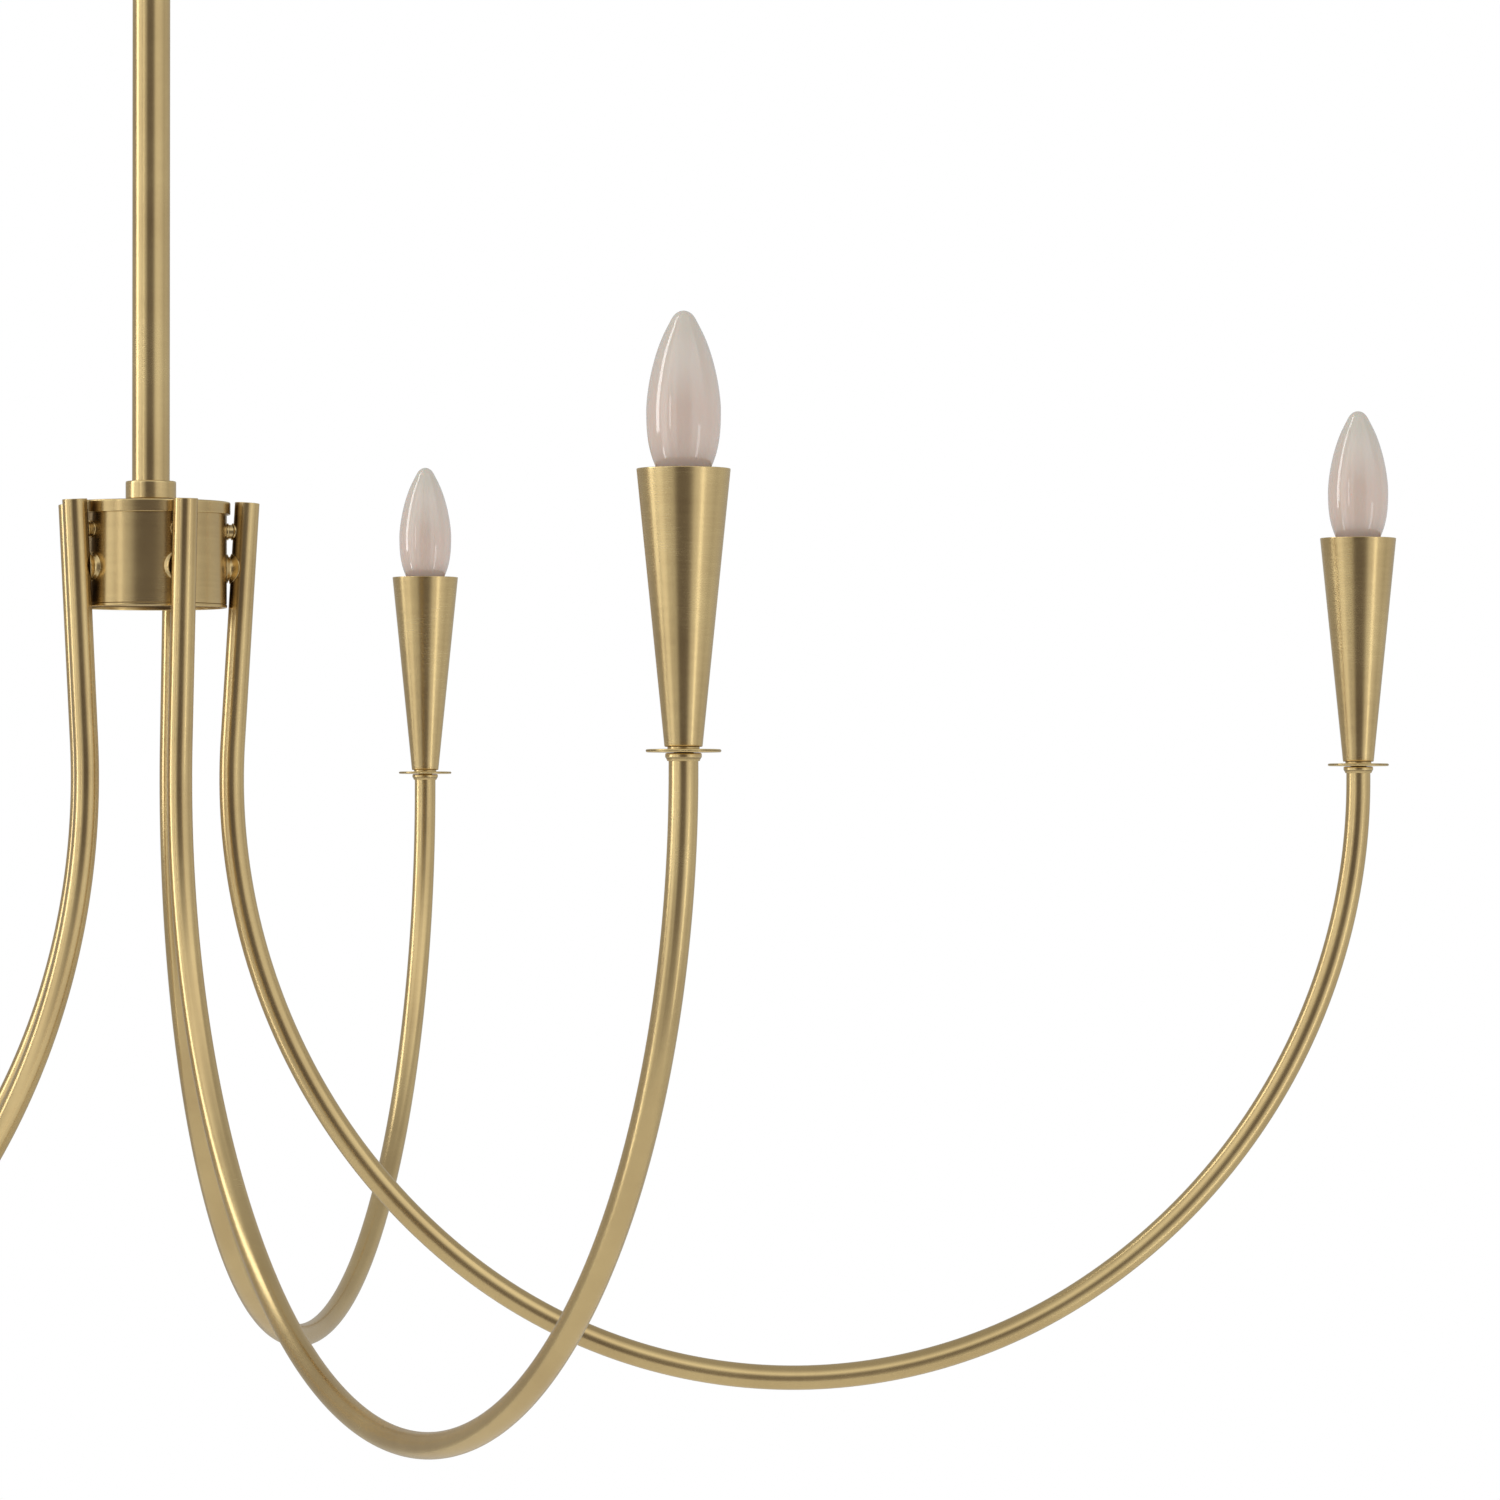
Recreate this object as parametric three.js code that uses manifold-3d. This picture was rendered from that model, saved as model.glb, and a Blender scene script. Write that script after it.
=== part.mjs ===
// Five-arm candle chandelier on a rigid downrod. Millimetres, +Z up.
// The origin is the centre of the ceiling fixing, and everything hangs below it.
import * as THREE from "three";
import { mergeVertices } from "three/addons/utils/BufferGeometryUtils.js";
import Module from "manifold-3d";

// ---------------------------------------------------------------- driving sizes

const FIT = 0.3; // gap kept between two pieces that touch
const TURNING_FIT = 0.35; // gap round a piece that turns inside another
const CUT_PAST = 1; // how far a hole or slot is cut past the face it opens
const BED = 2; // how far a piece is drawn into its neighbour before it is cut back to bed on it
const HOLE_PAST = 5; // the same, for a hole through a curved wall
const CHAMFER = 1; // broken edge of a turned piece

const ARM_COUNT = 5;
const ARM_TUBE_DIA = 14;
const ARM_TUBE_WALL = 1.2;
const ARM_LEAN = 3.4; // degrees that the top of an arm leans out from the rod
const ARM_TOP_STRAIGHT = 136;
const ARM_FALL_BEND = { radius: 354, angle: 53 };
const ARM_BOWL_BEND = { radius: 311, angle: 72 };
const ARM_RISE_RADIUS = 349; // this bend turns through whatever is left, up to vertical
const ARM_END_STRAIGHT = 6.5;

// Small threaded lamp pipe. It runs free inside an arm's tube, and the wires run free inside it.
const PIPE_CLEARANCE = 1;
const PIPE_WALL = 1.6;
const PIPE_DIA = ARM_TUBE_DIA - 2 * (ARM_TUBE_WALL + PIPE_CLEARANCE);
const PIPE_BORE = PIPE_DIA - 2 * PIPE_WALL;

const HUB_DIA = 86;
const HUB_HEIGHT = 60; // lid top to drum bottom
const HUB_WALL = 1.5;
const HUB_FLOOR = 1.8;
const DRUM_EDGE = 1.5;
const LID_OVERHANG = 0.5; // lid skirt to drum wall
const LID_THICK = 1.5;
const LID_SKIRT = 7;
const LID_CHAMFER = 0.6;
const TUBE_TO_DRUM_FOOT = 1; // arm tube to drum wall at the foot of the drum

const STANDOFF_DEPTH = 16.5; // below the lid top
const STANDOFF_DIA = 8.2;
const STANDOFF_WASHER = { dia: 11, thick: 0.9 };
const STUD_DIA = 4.4;
const STUD_IN_DRUM = 9;
const STUD_IN_TUBE = 3;
const GROMMET_DEPTH = 37.5;
const GROMMET_DIA = 17;
const GROMMET_WAIST = 14;
const GROMMET_NIPPLE_DIA = 8;
const NIPPLE_IN_DRUM = 6;
const NIPPLE_IN_TUBE = 2;
const GROMMET_BORE = 5.4;
const GROMMET_RIM = 0.4; // straight edge of the flare on the drum's side

const ROD_DIA = 21.3;
const ROD_WALL = 1.5;
const ROD_LENGTH = 304.8;
const COLLAR_WALL = 3.35; // round the rod's foot
const COLLAR_HEIGHT = 11.6;
const COLLAR_SOCKET = 8; // depth of the rod in the collar
const COLLAR_PIPE = 9.6; // length of the collar's pipe below the lid
const COUPLER_LIP = 1.85; // how far the ring stands out from the rods
const COUPLER_RING = 8;
const SPIGOT_LENGTH = 14;
const WIREWAY_DIA = 9;

const CANOPY_DIA = 130;
const CANOPY_DEPTH = 25;
const CANOPY_WALL = 1.2;
const CANOPY_EDGE = 5;
const CROSSBAR = { length: 104, width: 19, thick: 2.5 };
const BOX_SLOT = { from: 41, to: 48, width: 4.6 }; // slots for the outlet box screws
const CANOPY_SCREW_SPACING = 66;
const CANOPY_SCREW_DIA = 4.2;
const CANOPY_SCREW_HEAD = 9;
const CANOPY_SCREW_RIM = 5.4; // from the ball's centre up to the canopy

const SWIVEL_DIA = 24;
const SWIVEL_HOUSING_DIA = 28;
const SWIVEL_HOUSING_HEIGHT = 14;
const SWIVEL_HEAD_DIA = 17;
const SWIVEL_NECK_DIA = 12;
const SWIVEL_HEAD_HEIGHT = 4.5;
const SWIVEL_WALL = 3; // housing floor and roof over the head
const FORK_BRIDGE = 6; // solid height above the fork's slot
const TONGUE_THICK = 8;
const TONGUE_WIDTH = 16;
const PIVOT_PIN_DIA = 5;
const PIN_HEAD = { dia: 8, height: 1.4 };
const TONGUE_FLANGE = 6;
const FORK_TO_FLANGE = 2; // room for the fork's round end when it tilts
const TONGUE_WINDOW = 6.75; // width of the slot that the lead leaves by

const DISC_DIA = 35.4;
const DISC_THICK = 1.5;
const FERRULE_WALL = 1.3;
const FERRULE_HEIGHT = 3.8;
const FERRULE_SHELF = 1.3;
const CONE_FOOT_DIA = 17.7;
const CONE_FOOT_EDGE = 0.8;
const CONE_RIM_DIA = 44.2;
const CONE_HEIGHT = 131;
const CONE_WALL = 1;
const CONE_FLOOR = 1.5;

const BULB_DIA = 35;
const BULB_GLASS_LENGTH = 84;
const BULB_WIDEST = 46.5; // from the tip
const BULB_WALL = 0.9;
const BULB_NECK_LIP = 0.6; // how far the glass's neck stands out from the base
const GLASS_POINT = 1.6; // the three exponents of the glass's outline
const GLASS_BLUNTNESS = 0.6;
const GLASS_SWELL = 2.3;
const BULB_SEAT_DEPTH = 10; // foot of the glass below the cone's rim
const BASE_DIA = 11.8;
const BULB_NECK_DIA = BASE_DIA + 2 * BULB_NECK_LIP;
const BASE_LENGTH = 18;
const CONTACT = { dia: 5, height: 2.2, shoulder: 2 };
const SOCKET_DIA = 21;
const SOCKET_LENGTH = 42;
const SOCKET_WALL = 3.2; // floor between the bulb's contact and the pipe
const SOCKET_FIT = 0.5; // round the bulb's base
const SOCKET_SHOULDER = { width: 3, height: 8 };

const LEAD_CLEARANCE = 0.5; // round the supply lead in the lamp pipe
const ARM_WIRE_DIA = 3.2;
const SPLICE = { dia: 20, height: 16 };
const WIRE_TAIL = 9; // supply lead above the rod's wireway

// Facets round each kind of piece. The hub's are a multiple of the arm count, so every arm meets
// the same facets.
const HUB_SIDES = 6 * ARM_COUNT;
const ROUND_SIDES = 16;
const SMALL_SIDES = 12;
const TUBE_SIDES = 10;
const BORE_SIDES = 8;
const WIRE_SIDES = 4;

// ---------------------------------------------------------------- finishes

function finish(name, color, metalness, roughness) {
  const material = new THREE.MeshStandardMaterial({ color, metalness, roughness });
  material.name = name;
  return material;
}

const BRASS = finish("antique_brass", 0xa88a4e, 1, 0.38);
const BRIGHT_BRASS = finish("bulb_brass", 0xc8b070, 1, 0.3);
const ZINC = finish("zinc_steel", 0xa9abad, 1, 0.45);
const OPAL = finish("opal_glass", 0xf1e9e4, 0, 0.12);
const PHENOLIC = finish("socket_phenolic", 0x1c1b1a, 0, 0.5);
const SLEEVE = finish("wire_sleeve", 0xd9d2c0, 0, 0.6);

// ---------------------------------------------------------------- solids

const wasm = await Module();
wasm.setup();

function toSolid(geometry) {
  const bare = geometry.clone();
  bare.deleteAttribute("normal");
  bare.deleteAttribute("uv");
  const merged = mergeVertices(bare, 1e-4);
  return new wasm.Manifold(
    new wasm.Mesh({
      numProp: 3,
      vertProperties: new Float32Array(merged.attributes.position.array),
      triVerts: new Uint32Array(merged.index.array),
    }),
  );
}

function toGeometry(solid) {
  const mesh = solid.getMesh();
  const geometry = new THREE.BufferGeometry();
  geometry.setAttribute("position", new THREE.BufferAttribute(mesh.vertProperties, 3));
  geometry.setIndex(new THREE.BufferAttribute(mesh.triVerts, 1));
  const flat = geometry.toNonIndexed();
  flat.computeVertexNormals();
  return flat;
}

function cut(geometry, ...tools) {
  const solid = tools.reduce((rest, tool) => rest.subtract(toSolid(tool)), toSolid(geometry));
  return toGeometry(solid);
}

function join(...geometries) {
  const solid = geometries.map(toSolid).reduce((sum, next) => sum.add(next));
  return toGeometry(solid);
}

// A turned piece: the profile is a list of [radius, z], running up the outside.
function turned(profile, sides) {
  const points = profile.map(([radius, z]) => new THREE.Vector2(radius, z));
  return new THREE.LatheGeometry(points, sides).rotateX(Math.PI / 2);
}

// A tube or ring between two heights.
function ring(outerRadius, innerRadius, low, high, sides) {
  const profile = [
    [innerRadius, low],
    [outerRadius, low],
    [outerRadius, high],
    [innerRadius, high],
    [innerRadius, low],
  ];
  return turned(profile, sides);
}

// A plain round bar along Z between two heights.
function bar(radius, low, high, sides) {
  return turned([[0, low], [radius, low], [radius, high], [0, high]], sides);
}

// A plain round bar along X between two distances, at a height.
function crossBar(radius, from, to, height, sides) {
  return bar(radius, from, to, sides).rotateY(Math.PI / 2).translate(0, 0, height);
}

function block(width, depth, low, high) {
  return new THREE.BoxGeometry(width, depth, high - low).translate(0, 0, (low + high) / 2);
}

// Points of a quarter or part circle, in degrees, for a turned profile.
function arcPoints(radius, centreRadius, centreHeight, fromAngle, toAngle, steps) {
  return Array.from({ length: steps + 1 }, (_, i) => {
    const angle = THREE.MathUtils.degToRad(fromAngle + ((toAngle - fromAngle) * i) / steps);
    return [centreRadius + radius * Math.cos(angle), centreHeight + radius * Math.sin(angle)];
  });
}

function regularPolygon(radius, sides) {
  return Array.from({ length: sides }, (_, i) => {
    const angle = (2 * Math.PI * (i + 0.5)) / sides;
    return new THREE.Vector2(radius * Math.cos(angle), radius * Math.sin(angle));
  });
}

// A plane path in XZ made of straights and arcs that meet in tangent, as a tube bender makes it.
// The heading is in degrees from straight down, growing outwards. Each leg is a length with a turn over it.
class BentPath extends THREE.Curve {
  constructor(start, heading, legs) {
    super();
    this.stations = [{ point: start.clone(), heading }];
    for (const leg of legs) this.follow(leg);
  }

  follow({ length, turn = 0, steps = 1 }) {
    for (let i = 0; i < steps; i++) {
      const { point, heading } = this.stations[this.stations.length - 1];
      const half = THREE.MathUtils.degToRad(turn / steps / 2);
      const chord = (length / steps) * (half ? Math.sin(half) / half : 1);
      const middle = THREE.MathUtils.degToRad(heading) + half;
      const move = new THREE.Vector3(Math.sin(middle), 0, -Math.cos(middle)).multiplyScalar(chord);
      this.stations.push({ point: point.clone().add(move), heading: heading + turn / steps });
    }
  }

  get steps() {
    return this.stations.length - 1;
  }

  get end() {
    return this.stations[this.steps].point;
  }

  // Even steps of u are the stations, so a straight takes one step and an arc takes several.
  getPointAt(u, target = new THREE.Vector3()) {
    const place = u * this.steps;
    const index = Math.min(Math.floor(place), this.steps - 1);
    return target.lerpVectors(this.stations[index].point, this.stations[index + 1].point, place - index);
  }

  getPoint(t, target) {
    return this.getPointAt(t, target);
  }

  getTangentAt(u, target = new THREE.Vector3()) {
    const heading = THREE.MathUtils.degToRad(this.stations[Math.round(u * this.steps)].heading);
    return target.set(Math.sin(heading), 0, -Math.cos(heading));
  }
}

function alongPath(path, section) {
  return new THREE.ExtrudeGeometry(section, { extrudePath: path, steps: path.steps, bevelEnabled: false });
}

// ---------------------------------------------------------------- heights, from the ceiling down

const canopyFloor = -CANOPY_DEPTH;
const housingTop = canopyFloor - FIT;
const housingFoot = housingTop - SWIVEL_HOUSING_HEIGHT;
const knuckleTop = housingFoot - FIT;
const pivotHeight = knuckleTop - FORK_BRIDGE - TURNING_FIT - TONGUE_WIDTH / 2;
const flangeTop = pivotHeight - SWIVEL_DIA / 2 - FORK_TO_FLANGE;
const upperRodTop = flangeTop - TONGUE_FLANGE - FIT;
const upperRodFoot = upperRodTop - ROD_LENGTH;
const couplerTop = upperRodFoot - FIT;
const couplerFoot = couplerTop - COUPLER_RING;
const lowerRodTop = couplerFoot - FIT;
const lowerRodFoot = lowerRodTop - ROD_LENGTH;
const collarTop = lowerRodFoot - FIT + COLLAR_SOCKET;
const lidTop = collarTop - COLLAR_HEIGHT - FIT;
const standoffHeight = lidTop - STANDOFF_DEPTH;
const grommetHeight = lidTop - GROMMET_DEPTH;

// ---------------------------------------------------------------- the arm's line

const tubeRadius = ARM_TUBE_DIA / 2;
const leanRadians = THREE.MathUtils.degToRad(ARM_LEAN);
const hubRadius = HUB_DIA / 2;
const armTopRadius =
  hubRadius + TUBE_TO_DRUM_FOOT + tubeRadius / Math.cos(leanRadians) + HUB_HEIGHT * Math.tan(leanRadians);

function armAxisRadius(depth) {
  return armTopRadius - depth * Math.tan(leanRadians);
}

function arcLength(radius, angle) {
  return radius * THREE.MathUtils.degToRad(angle);
}

const riseAngle = 180 + ARM_LEAN - ARM_FALL_BEND.angle - ARM_BOWL_BEND.angle;
const armBends = [
  { length: arcLength(ARM_FALL_BEND.radius, ARM_FALL_BEND.angle), turn: ARM_FALL_BEND.angle, steps: 6 },
  { length: arcLength(ARM_BOWL_BEND.radius, ARM_BOWL_BEND.angle), turn: ARM_BOWL_BEND.angle, steps: 8 },
  { length: arcLength(ARM_RISE_RADIUS, riseAngle), turn: riseAngle, steps: 6 },
  { length: ARM_END_STRAIGHT },
];
const armTop = new THREE.Vector3(armTopRadius, 0, lidTop);
const armPath = new BentPath(armTop, -ARM_LEAN, [{ length: ARM_TOP_STRAIGHT }, ...armBends]);

const tubeEnd = armPath.end.z;
const lampRadius = armPath.end.x;
const ferruleTop = tubeEnd + FIT + FERRULE_SHELF;
const discTop = ferruleTop + FIT + DISC_THICK;
const coneFoot = discTop + FIT;
const coneRim = coneFoot + CONE_HEIGHT;
const glassFoot = coneRim - BULB_SEAT_DEPTH;
const baseTop = glassFoot - FIT;
const contactFoot = baseTop - BASE_LENGTH - CONTACT.height;
const socketTop = baseTop - FIT;
const socketFoot = socketTop - SOCKET_LENGTH;
const pipeFoot = tubeEnd - ARM_TUBE_DIA / 2;

// ---------------------------------------------------------------- ceiling fixing

// What cuts the hole for a canopy screw, on the side -1 or 1.
function screwHole(side, low, high) {
  const hole = bar(CANOPY_SCREW_DIA / 2 + FIT, low, high, BORE_SIDES);
  return hole.translate((side * CANOPY_SCREW_SPACING) / 2, 0, 0);
}

function crossbar() {
  const plate = block(CROSSBAR.length, CROSSBAR.width, -CROSSBAR.thick, 0);
  const screwHoles = [-1, 1].map((side) => screwHole(side, -CROSSBAR.thick - CUT_PAST, CUT_PAST));
  const slots = [-1, 1].map((side) =>
    block(BOX_SLOT.to - BOX_SLOT.from, BOX_SLOT.width, -CROSSBAR.thick - CUT_PAST, CUT_PAST).translate(
      (side * (BOX_SLOT.from + BOX_SLOT.to)) / 2,
      0,
      0,
    ),
  );
  return cut(plate, ...screwHoles, ...slots);
}

function canopy() {
  const outer = CANOPY_DIA / 2;
  const inner = outer - CANOPY_WALL;
  const innerEdge = CANOPY_EDGE - CANOPY_WALL;
  const pipeHole = PIPE_DIA / 2 + FIT;
  const shell = turned(
    [
      [pipeHole, canopyFloor],
      ...arcPoints(CANOPY_EDGE, outer - CANOPY_EDGE, canopyFloor + CANOPY_EDGE, -90, 0, 3),
      [outer, -FIT],
      [inner, -FIT],
      ...arcPoints(innerEdge, outer - CANOPY_EDGE, canopyFloor + CANOPY_EDGE, 0, -90, 2),
      [pipeHole, canopyFloor + CANOPY_WALL],
      [pipeHole, canopyFloor],
    ],
    HUB_SIDES,
  );
  const holeTop = canopyFloor + CANOPY_WALL + CUT_PAST;
  const screwHoles = [-1, 1].map((side) => screwHole(side, canopyFloor - CUT_PAST, holeTop));
  return cut(shell, ...screwHoles);
}

// The shank runs up into the crossbar and the ball head bears on the canopy.
function canopyScrew() {
  const head = CANOPY_SCREW_HEAD / 2;
  const headTop = canopyFloor - FIT;
  const shank = CANOPY_SCREW_DIA / 2;
  return turned(
    [
      ...arcPoints(head, 0, headTop - CANOPY_SCREW_RIM, -90, 0, 4),
      [head, headTop],
      [shank, headTop],
      [shank, FIT - CROSSBAR.thick / 2],
      [0, FIT - CROSSBAR.thick / 2],
    ],
    TUBE_SIDES,
  );
}

// ---------------------------------------------------------------- hang-straight swivel

// The pipe goes up through the canopy. The chamber holds the knuckle's head, which turns in it.
function swivelHousing() {
  const outer = SWIVEL_HOUSING_DIA / 2;
  const pipe = PIPE_DIA / 2;
  const bore = PIPE_BORE / 2;
  const headRoom = SWIVEL_HEAD_DIA / 2 + TURNING_FIT;
  const mouth = SWIVEL_NECK_DIA / 2 + TURNING_FIT;
  const chamberFoot = housingFoot + SWIVEL_WALL;
  const chamberTop = housingTop - SWIVEL_WALL;
  return turned(
    [
      [mouth, housingFoot],
      [outer - CHAMFER, housingFoot],
      [outer, housingFoot + CHAMFER],
      [outer, housingTop - CHAMFER],
      [outer - CHAMFER, housingTop],
      [pipe, housingTop],
      [pipe, canopyFloor + CANOPY_DEPTH / 2],
      [bore, canopyFloor + CANOPY_DEPTH / 2],
      [bore, chamberTop],
      [headRoom, chamberTop],
      [headRoom, chamberFoot],
      [mouth, chamberFoot],
      [mouth, housingFoot],
    ],
    ROUND_SIDES,
  );
}

// A round body with a head on a neck above and a fork below. The fork's cheeks are rounded about the pivot.
function swivelKnuckle() {
  const outer = SWIVEL_DIA / 2;
  const neck = SWIVEL_NECK_DIA / 2;
  const head = SWIVEL_HEAD_DIA / 2;
  const bore = PIPE_BORE / 2;
  const headFoot = housingFoot + SWIVEL_WALL + TURNING_FIT;
  const body = turned(
    [
      [bore, pivotHeight - outer],
      [outer, pivotHeight - outer],
      [outer, knuckleTop - CHAMFER],
      [outer - CHAMFER, knuckleTop],
      [neck, knuckleTop],
      [neck, headFoot],
      [head, headFoot],
      [head, headFoot + SWIVEL_HEAD_HEIGHT],
      [bore, headFoot + SWIVEL_HEAD_HEIGHT],
      [bore, pivotHeight - outer],
    ],
    ROUND_SIDES,
  );
  const across = outer + CUT_PAST;
  const cheekRound = bar(outer, -across, across, ROUND_SIDES).rotateX(Math.PI / 2);
  cheekRound.translate(0, 0, pivotHeight);
  const above = block(2 * across, 2 * across, pivotHeight, housingTop);
  const rounded = toSolid(body).intersect(toSolid(join(cheekRound, above)));
  const slotWidth = TONGUE_THICK + 2 * TURNING_FIT;
  const slot = block(2 * across, slotWidth, pivotHeight - across, knuckleTop - FORK_BRIDGE);
  const pinHole = bar(PIVOT_PIN_DIA / 2 + FIT, -across, across, TUBE_SIDES).rotateX(Math.PI / 2);
  pinHole.translate(0, 0, pivotHeight);
  return toGeometry(rounded.subtract(toSolid(slot)).subtract(toSolid(pinHole)));
}

function swivelPin() {
  const half = SWIVEL_DIA / 2 + FIT;
  const shank = PIVOT_PIN_DIA / 2;
  const head = PIN_HEAD.dia / 2;
  return turned(
    [
      [0, -half - PIN_HEAD.height],
      [head - CHAMFER, -half - PIN_HEAD.height],
      [head, -half],
      [shank, -half],
      [shank, half],
      [head, half],
      [head - CHAMFER, half + PIN_HEAD.height],
      [0, half + PIN_HEAD.height],
    ],
    TUBE_SIDES,
  )
    .rotateX(Math.PI / 2)
    .translate(0, 0, pivotHeight);
}

// A flat tongue on a round flange, with a spigot that goes down into the rod.
function swivelTongue() {
  const half = TONGUE_WIDTH / 2;
  const eye = bar(half, -TONGUE_THICK / 2, TONGUE_THICK / 2, ROUND_SIDES).rotateX(Math.PI / 2);
  eye.translate(0, 0, pivotHeight);
  const blade = block(TONGUE_WIDTH, TONGUE_THICK, flangeTop - CUT_PAST, pivotHeight);
  const flange = bar(ROD_DIA / 2, flangeTop - TONGUE_FLANGE, flangeTop, ROUND_SIDES);
  const spigotFoot = flangeTop - TONGUE_FLANGE - SPIGOT_LENGTH;
  const spigot = bar(ROD_DIA / 2 - ROD_WALL - FIT, spigotFoot, flangeTop - CUT_PAST, ROUND_SIDES);
  const pinHole = bar(PIVOT_PIN_DIA / 2 + TURNING_FIT, -half, half, TUBE_SIDES).rotateX(Math.PI / 2);
  pinHole.translate(0, 0, pivotHeight);
  const windowTop = pivotHeight - PIVOT_PIN_DIA / 2 - SWIVEL_WALL;
  const window = block(TONGUE_WINDOW, TONGUE_THICK + 2 * CUT_PAST, flangeTop, windowTop);
  const bore = bar(PIPE_BORE / 2, spigotFoot - CUT_PAST, flangeTop + CUT_PAST, TUBE_SIDES);
  return cut(join(eye, blade, flange, spigot), pinHole, window, bore);
}

// ---------------------------------------------------------------- downrod

function rod(low) {
  return ring(ROD_DIA / 2, ROD_DIA / 2 - ROD_WALL, low, low + ROD_LENGTH, ROUND_SIDES);
}

function rodCoupler() {
  const spigot = ROD_DIA / 2 - ROD_WALL - FIT;
  const bore = WIREWAY_DIA / 2;
  const outer = ROD_DIA / 2 + COUPLER_LIP;
  return turned(
    [
      [bore, couplerFoot - SPIGOT_LENGTH],
      [spigot, couplerFoot - SPIGOT_LENGTH],
      [spigot, couplerFoot],
      [outer - CHAMFER, couplerFoot],
      [outer, couplerFoot + CHAMFER],
      [outer, couplerTop - CHAMFER],
      [outer - CHAMFER, couplerTop],
      [spigot, couplerTop],
      [spigot, couplerTop + SPIGOT_LENGTH],
      [bore, couplerTop + SPIGOT_LENGTH],
      [bore, couplerFoot - SPIGOT_LENGTH],
    ],
    ROUND_SIDES,
  );
}

// ---------------------------------------------------------------- hub

// The collar holds the rod's foot in a socket, and its pipe goes down through the lid.
function hubCollar() {
  const socket = ROD_DIA / 2 + FIT;
  const outer = socket + COLLAR_WALL;
  const pipe = PIPE_DIA / 2;
  const bore = PIPE_BORE / 2;
  const collarFoot = lidTop + FIT;
  const pipeEnd = lidTop - LID_THICK - COLLAR_PIPE;
  return turned(
    [
      [bore, pipeEnd],
      [pipe, pipeEnd],
      [pipe, collarFoot],
      [outer, collarFoot],
      [outer, collarTop - CHAMFER],
      [outer - CHAMFER, collarTop],
      [socket, collarTop],
      [socket, lowerRodFoot - FIT],
      [bore, lowerRodFoot - FIT],
      [bore, pipeEnd],
    ],
    ROUND_SIDES,
  );
}

function hubLid() {
  const skirtInner = hubRadius + LID_OVERHANG;
  const outer = skirtInner + LID_THICK;
  const pipeHole = PIPE_DIA / 2 + FIT;
  return turned(
    [
      [skirtInner, lidTop - LID_SKIRT],
      [outer, lidTop - LID_SKIRT],
      [outer, lidTop - LID_CHAMFER],
      [outer - LID_CHAMFER, lidTop],
      [pipeHole, lidTop],
      [pipeHole, lidTop - LID_THICK],
      [skirtInner, lidTop - LID_THICK],
      [skirtInner, lidTop - LID_SKIRT],
    ],
    HUB_SIDES,
  );
}

// An open-topped cup with two holes for each arm: one for the standoff's stud and one for the wires.
function hubDrum() {
  const inner = hubRadius - HUB_WALL;
  const foot = lidTop - HUB_HEIGHT;
  const shell = turned(
    [
      [0, foot],
      ...arcPoints(DRUM_EDGE, hubRadius - DRUM_EDGE, foot + DRUM_EDGE, -90, 0, 1),
      [hubRadius, lidTop - LID_THICK - FIT],
      [inner, lidTop - LID_THICK - FIT],
      [inner, foot + HUB_FLOOR],
      [0, foot + HUB_FLOOR],
    ],
    HUB_SIDES,
  );
  const from = inner - HOLE_PAST;
  const to = hubRadius + HOLE_PAST;
  const holes = armAngles.flatMap((angle) => [
    crossBar(STUD_DIA / 2 + FIT, from, to, standoffHeight, BORE_SIDES).rotateZ(angle),
    crossBar(GROMMET_NIPPLE_DIA / 2 + FIT, from, to, grommetHeight, TUBE_SIDES).rotateZ(angle),
  ]);
  return cut(shell, ...holes);
}

// ---------------------------------------------------------------- arm and its fixings

// A bent tube with a hole for the standoff's stud and one for the wires in its inner side.
function armTube() {
  const section = new THREE.Shape(regularPolygon(tubeRadius, TUBE_SIDES));
  section.holes.push(new THREE.Path(regularPolygon(tubeRadius - ARM_TUBE_WALL, BORE_SIDES)));
  const studEnd = armAxisRadius(STANDOFF_DEPTH);
  const wireEnd = armAxisRadius(GROMMET_DEPTH);
  const studHole = crossBar(STUD_DIA / 2 + FIT, hubRadius, studEnd, standoffHeight, BORE_SIDES);
  const wireHole = crossBar(GROMMET_NIPPLE_DIA / 2 + FIT, hubRadius, wireEnd, grommetHeight, TUBE_SIDES);
  return cut(alongPath(armPath, section), studHole, wireHole);
}

// What a piece between drum and tube is cut back by, so that it beds on both.
function drumAndTubeClearance() {
  const foot = lidTop - HUB_HEIGHT;
  const drum = bar(hubRadius + FIT, foot, lidTop, HUB_SIDES);
  const top = new THREE.Vector3(armTopRadius, 0, lidTop).add(
    new THREE.Vector3(Math.sin(leanRadians), 0, Math.cos(leanRadians)),
  );
  const line = new BentPath(top, -ARM_LEAN, [{ length: HUB_HEIGHT + 2 * CUT_PAST }]);
  const tube = alongPath(line, new THREE.Shape(regularPolygon(tubeRadius + FIT, TUBE_SIDES)));
  return [drum, tube];
}

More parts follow.
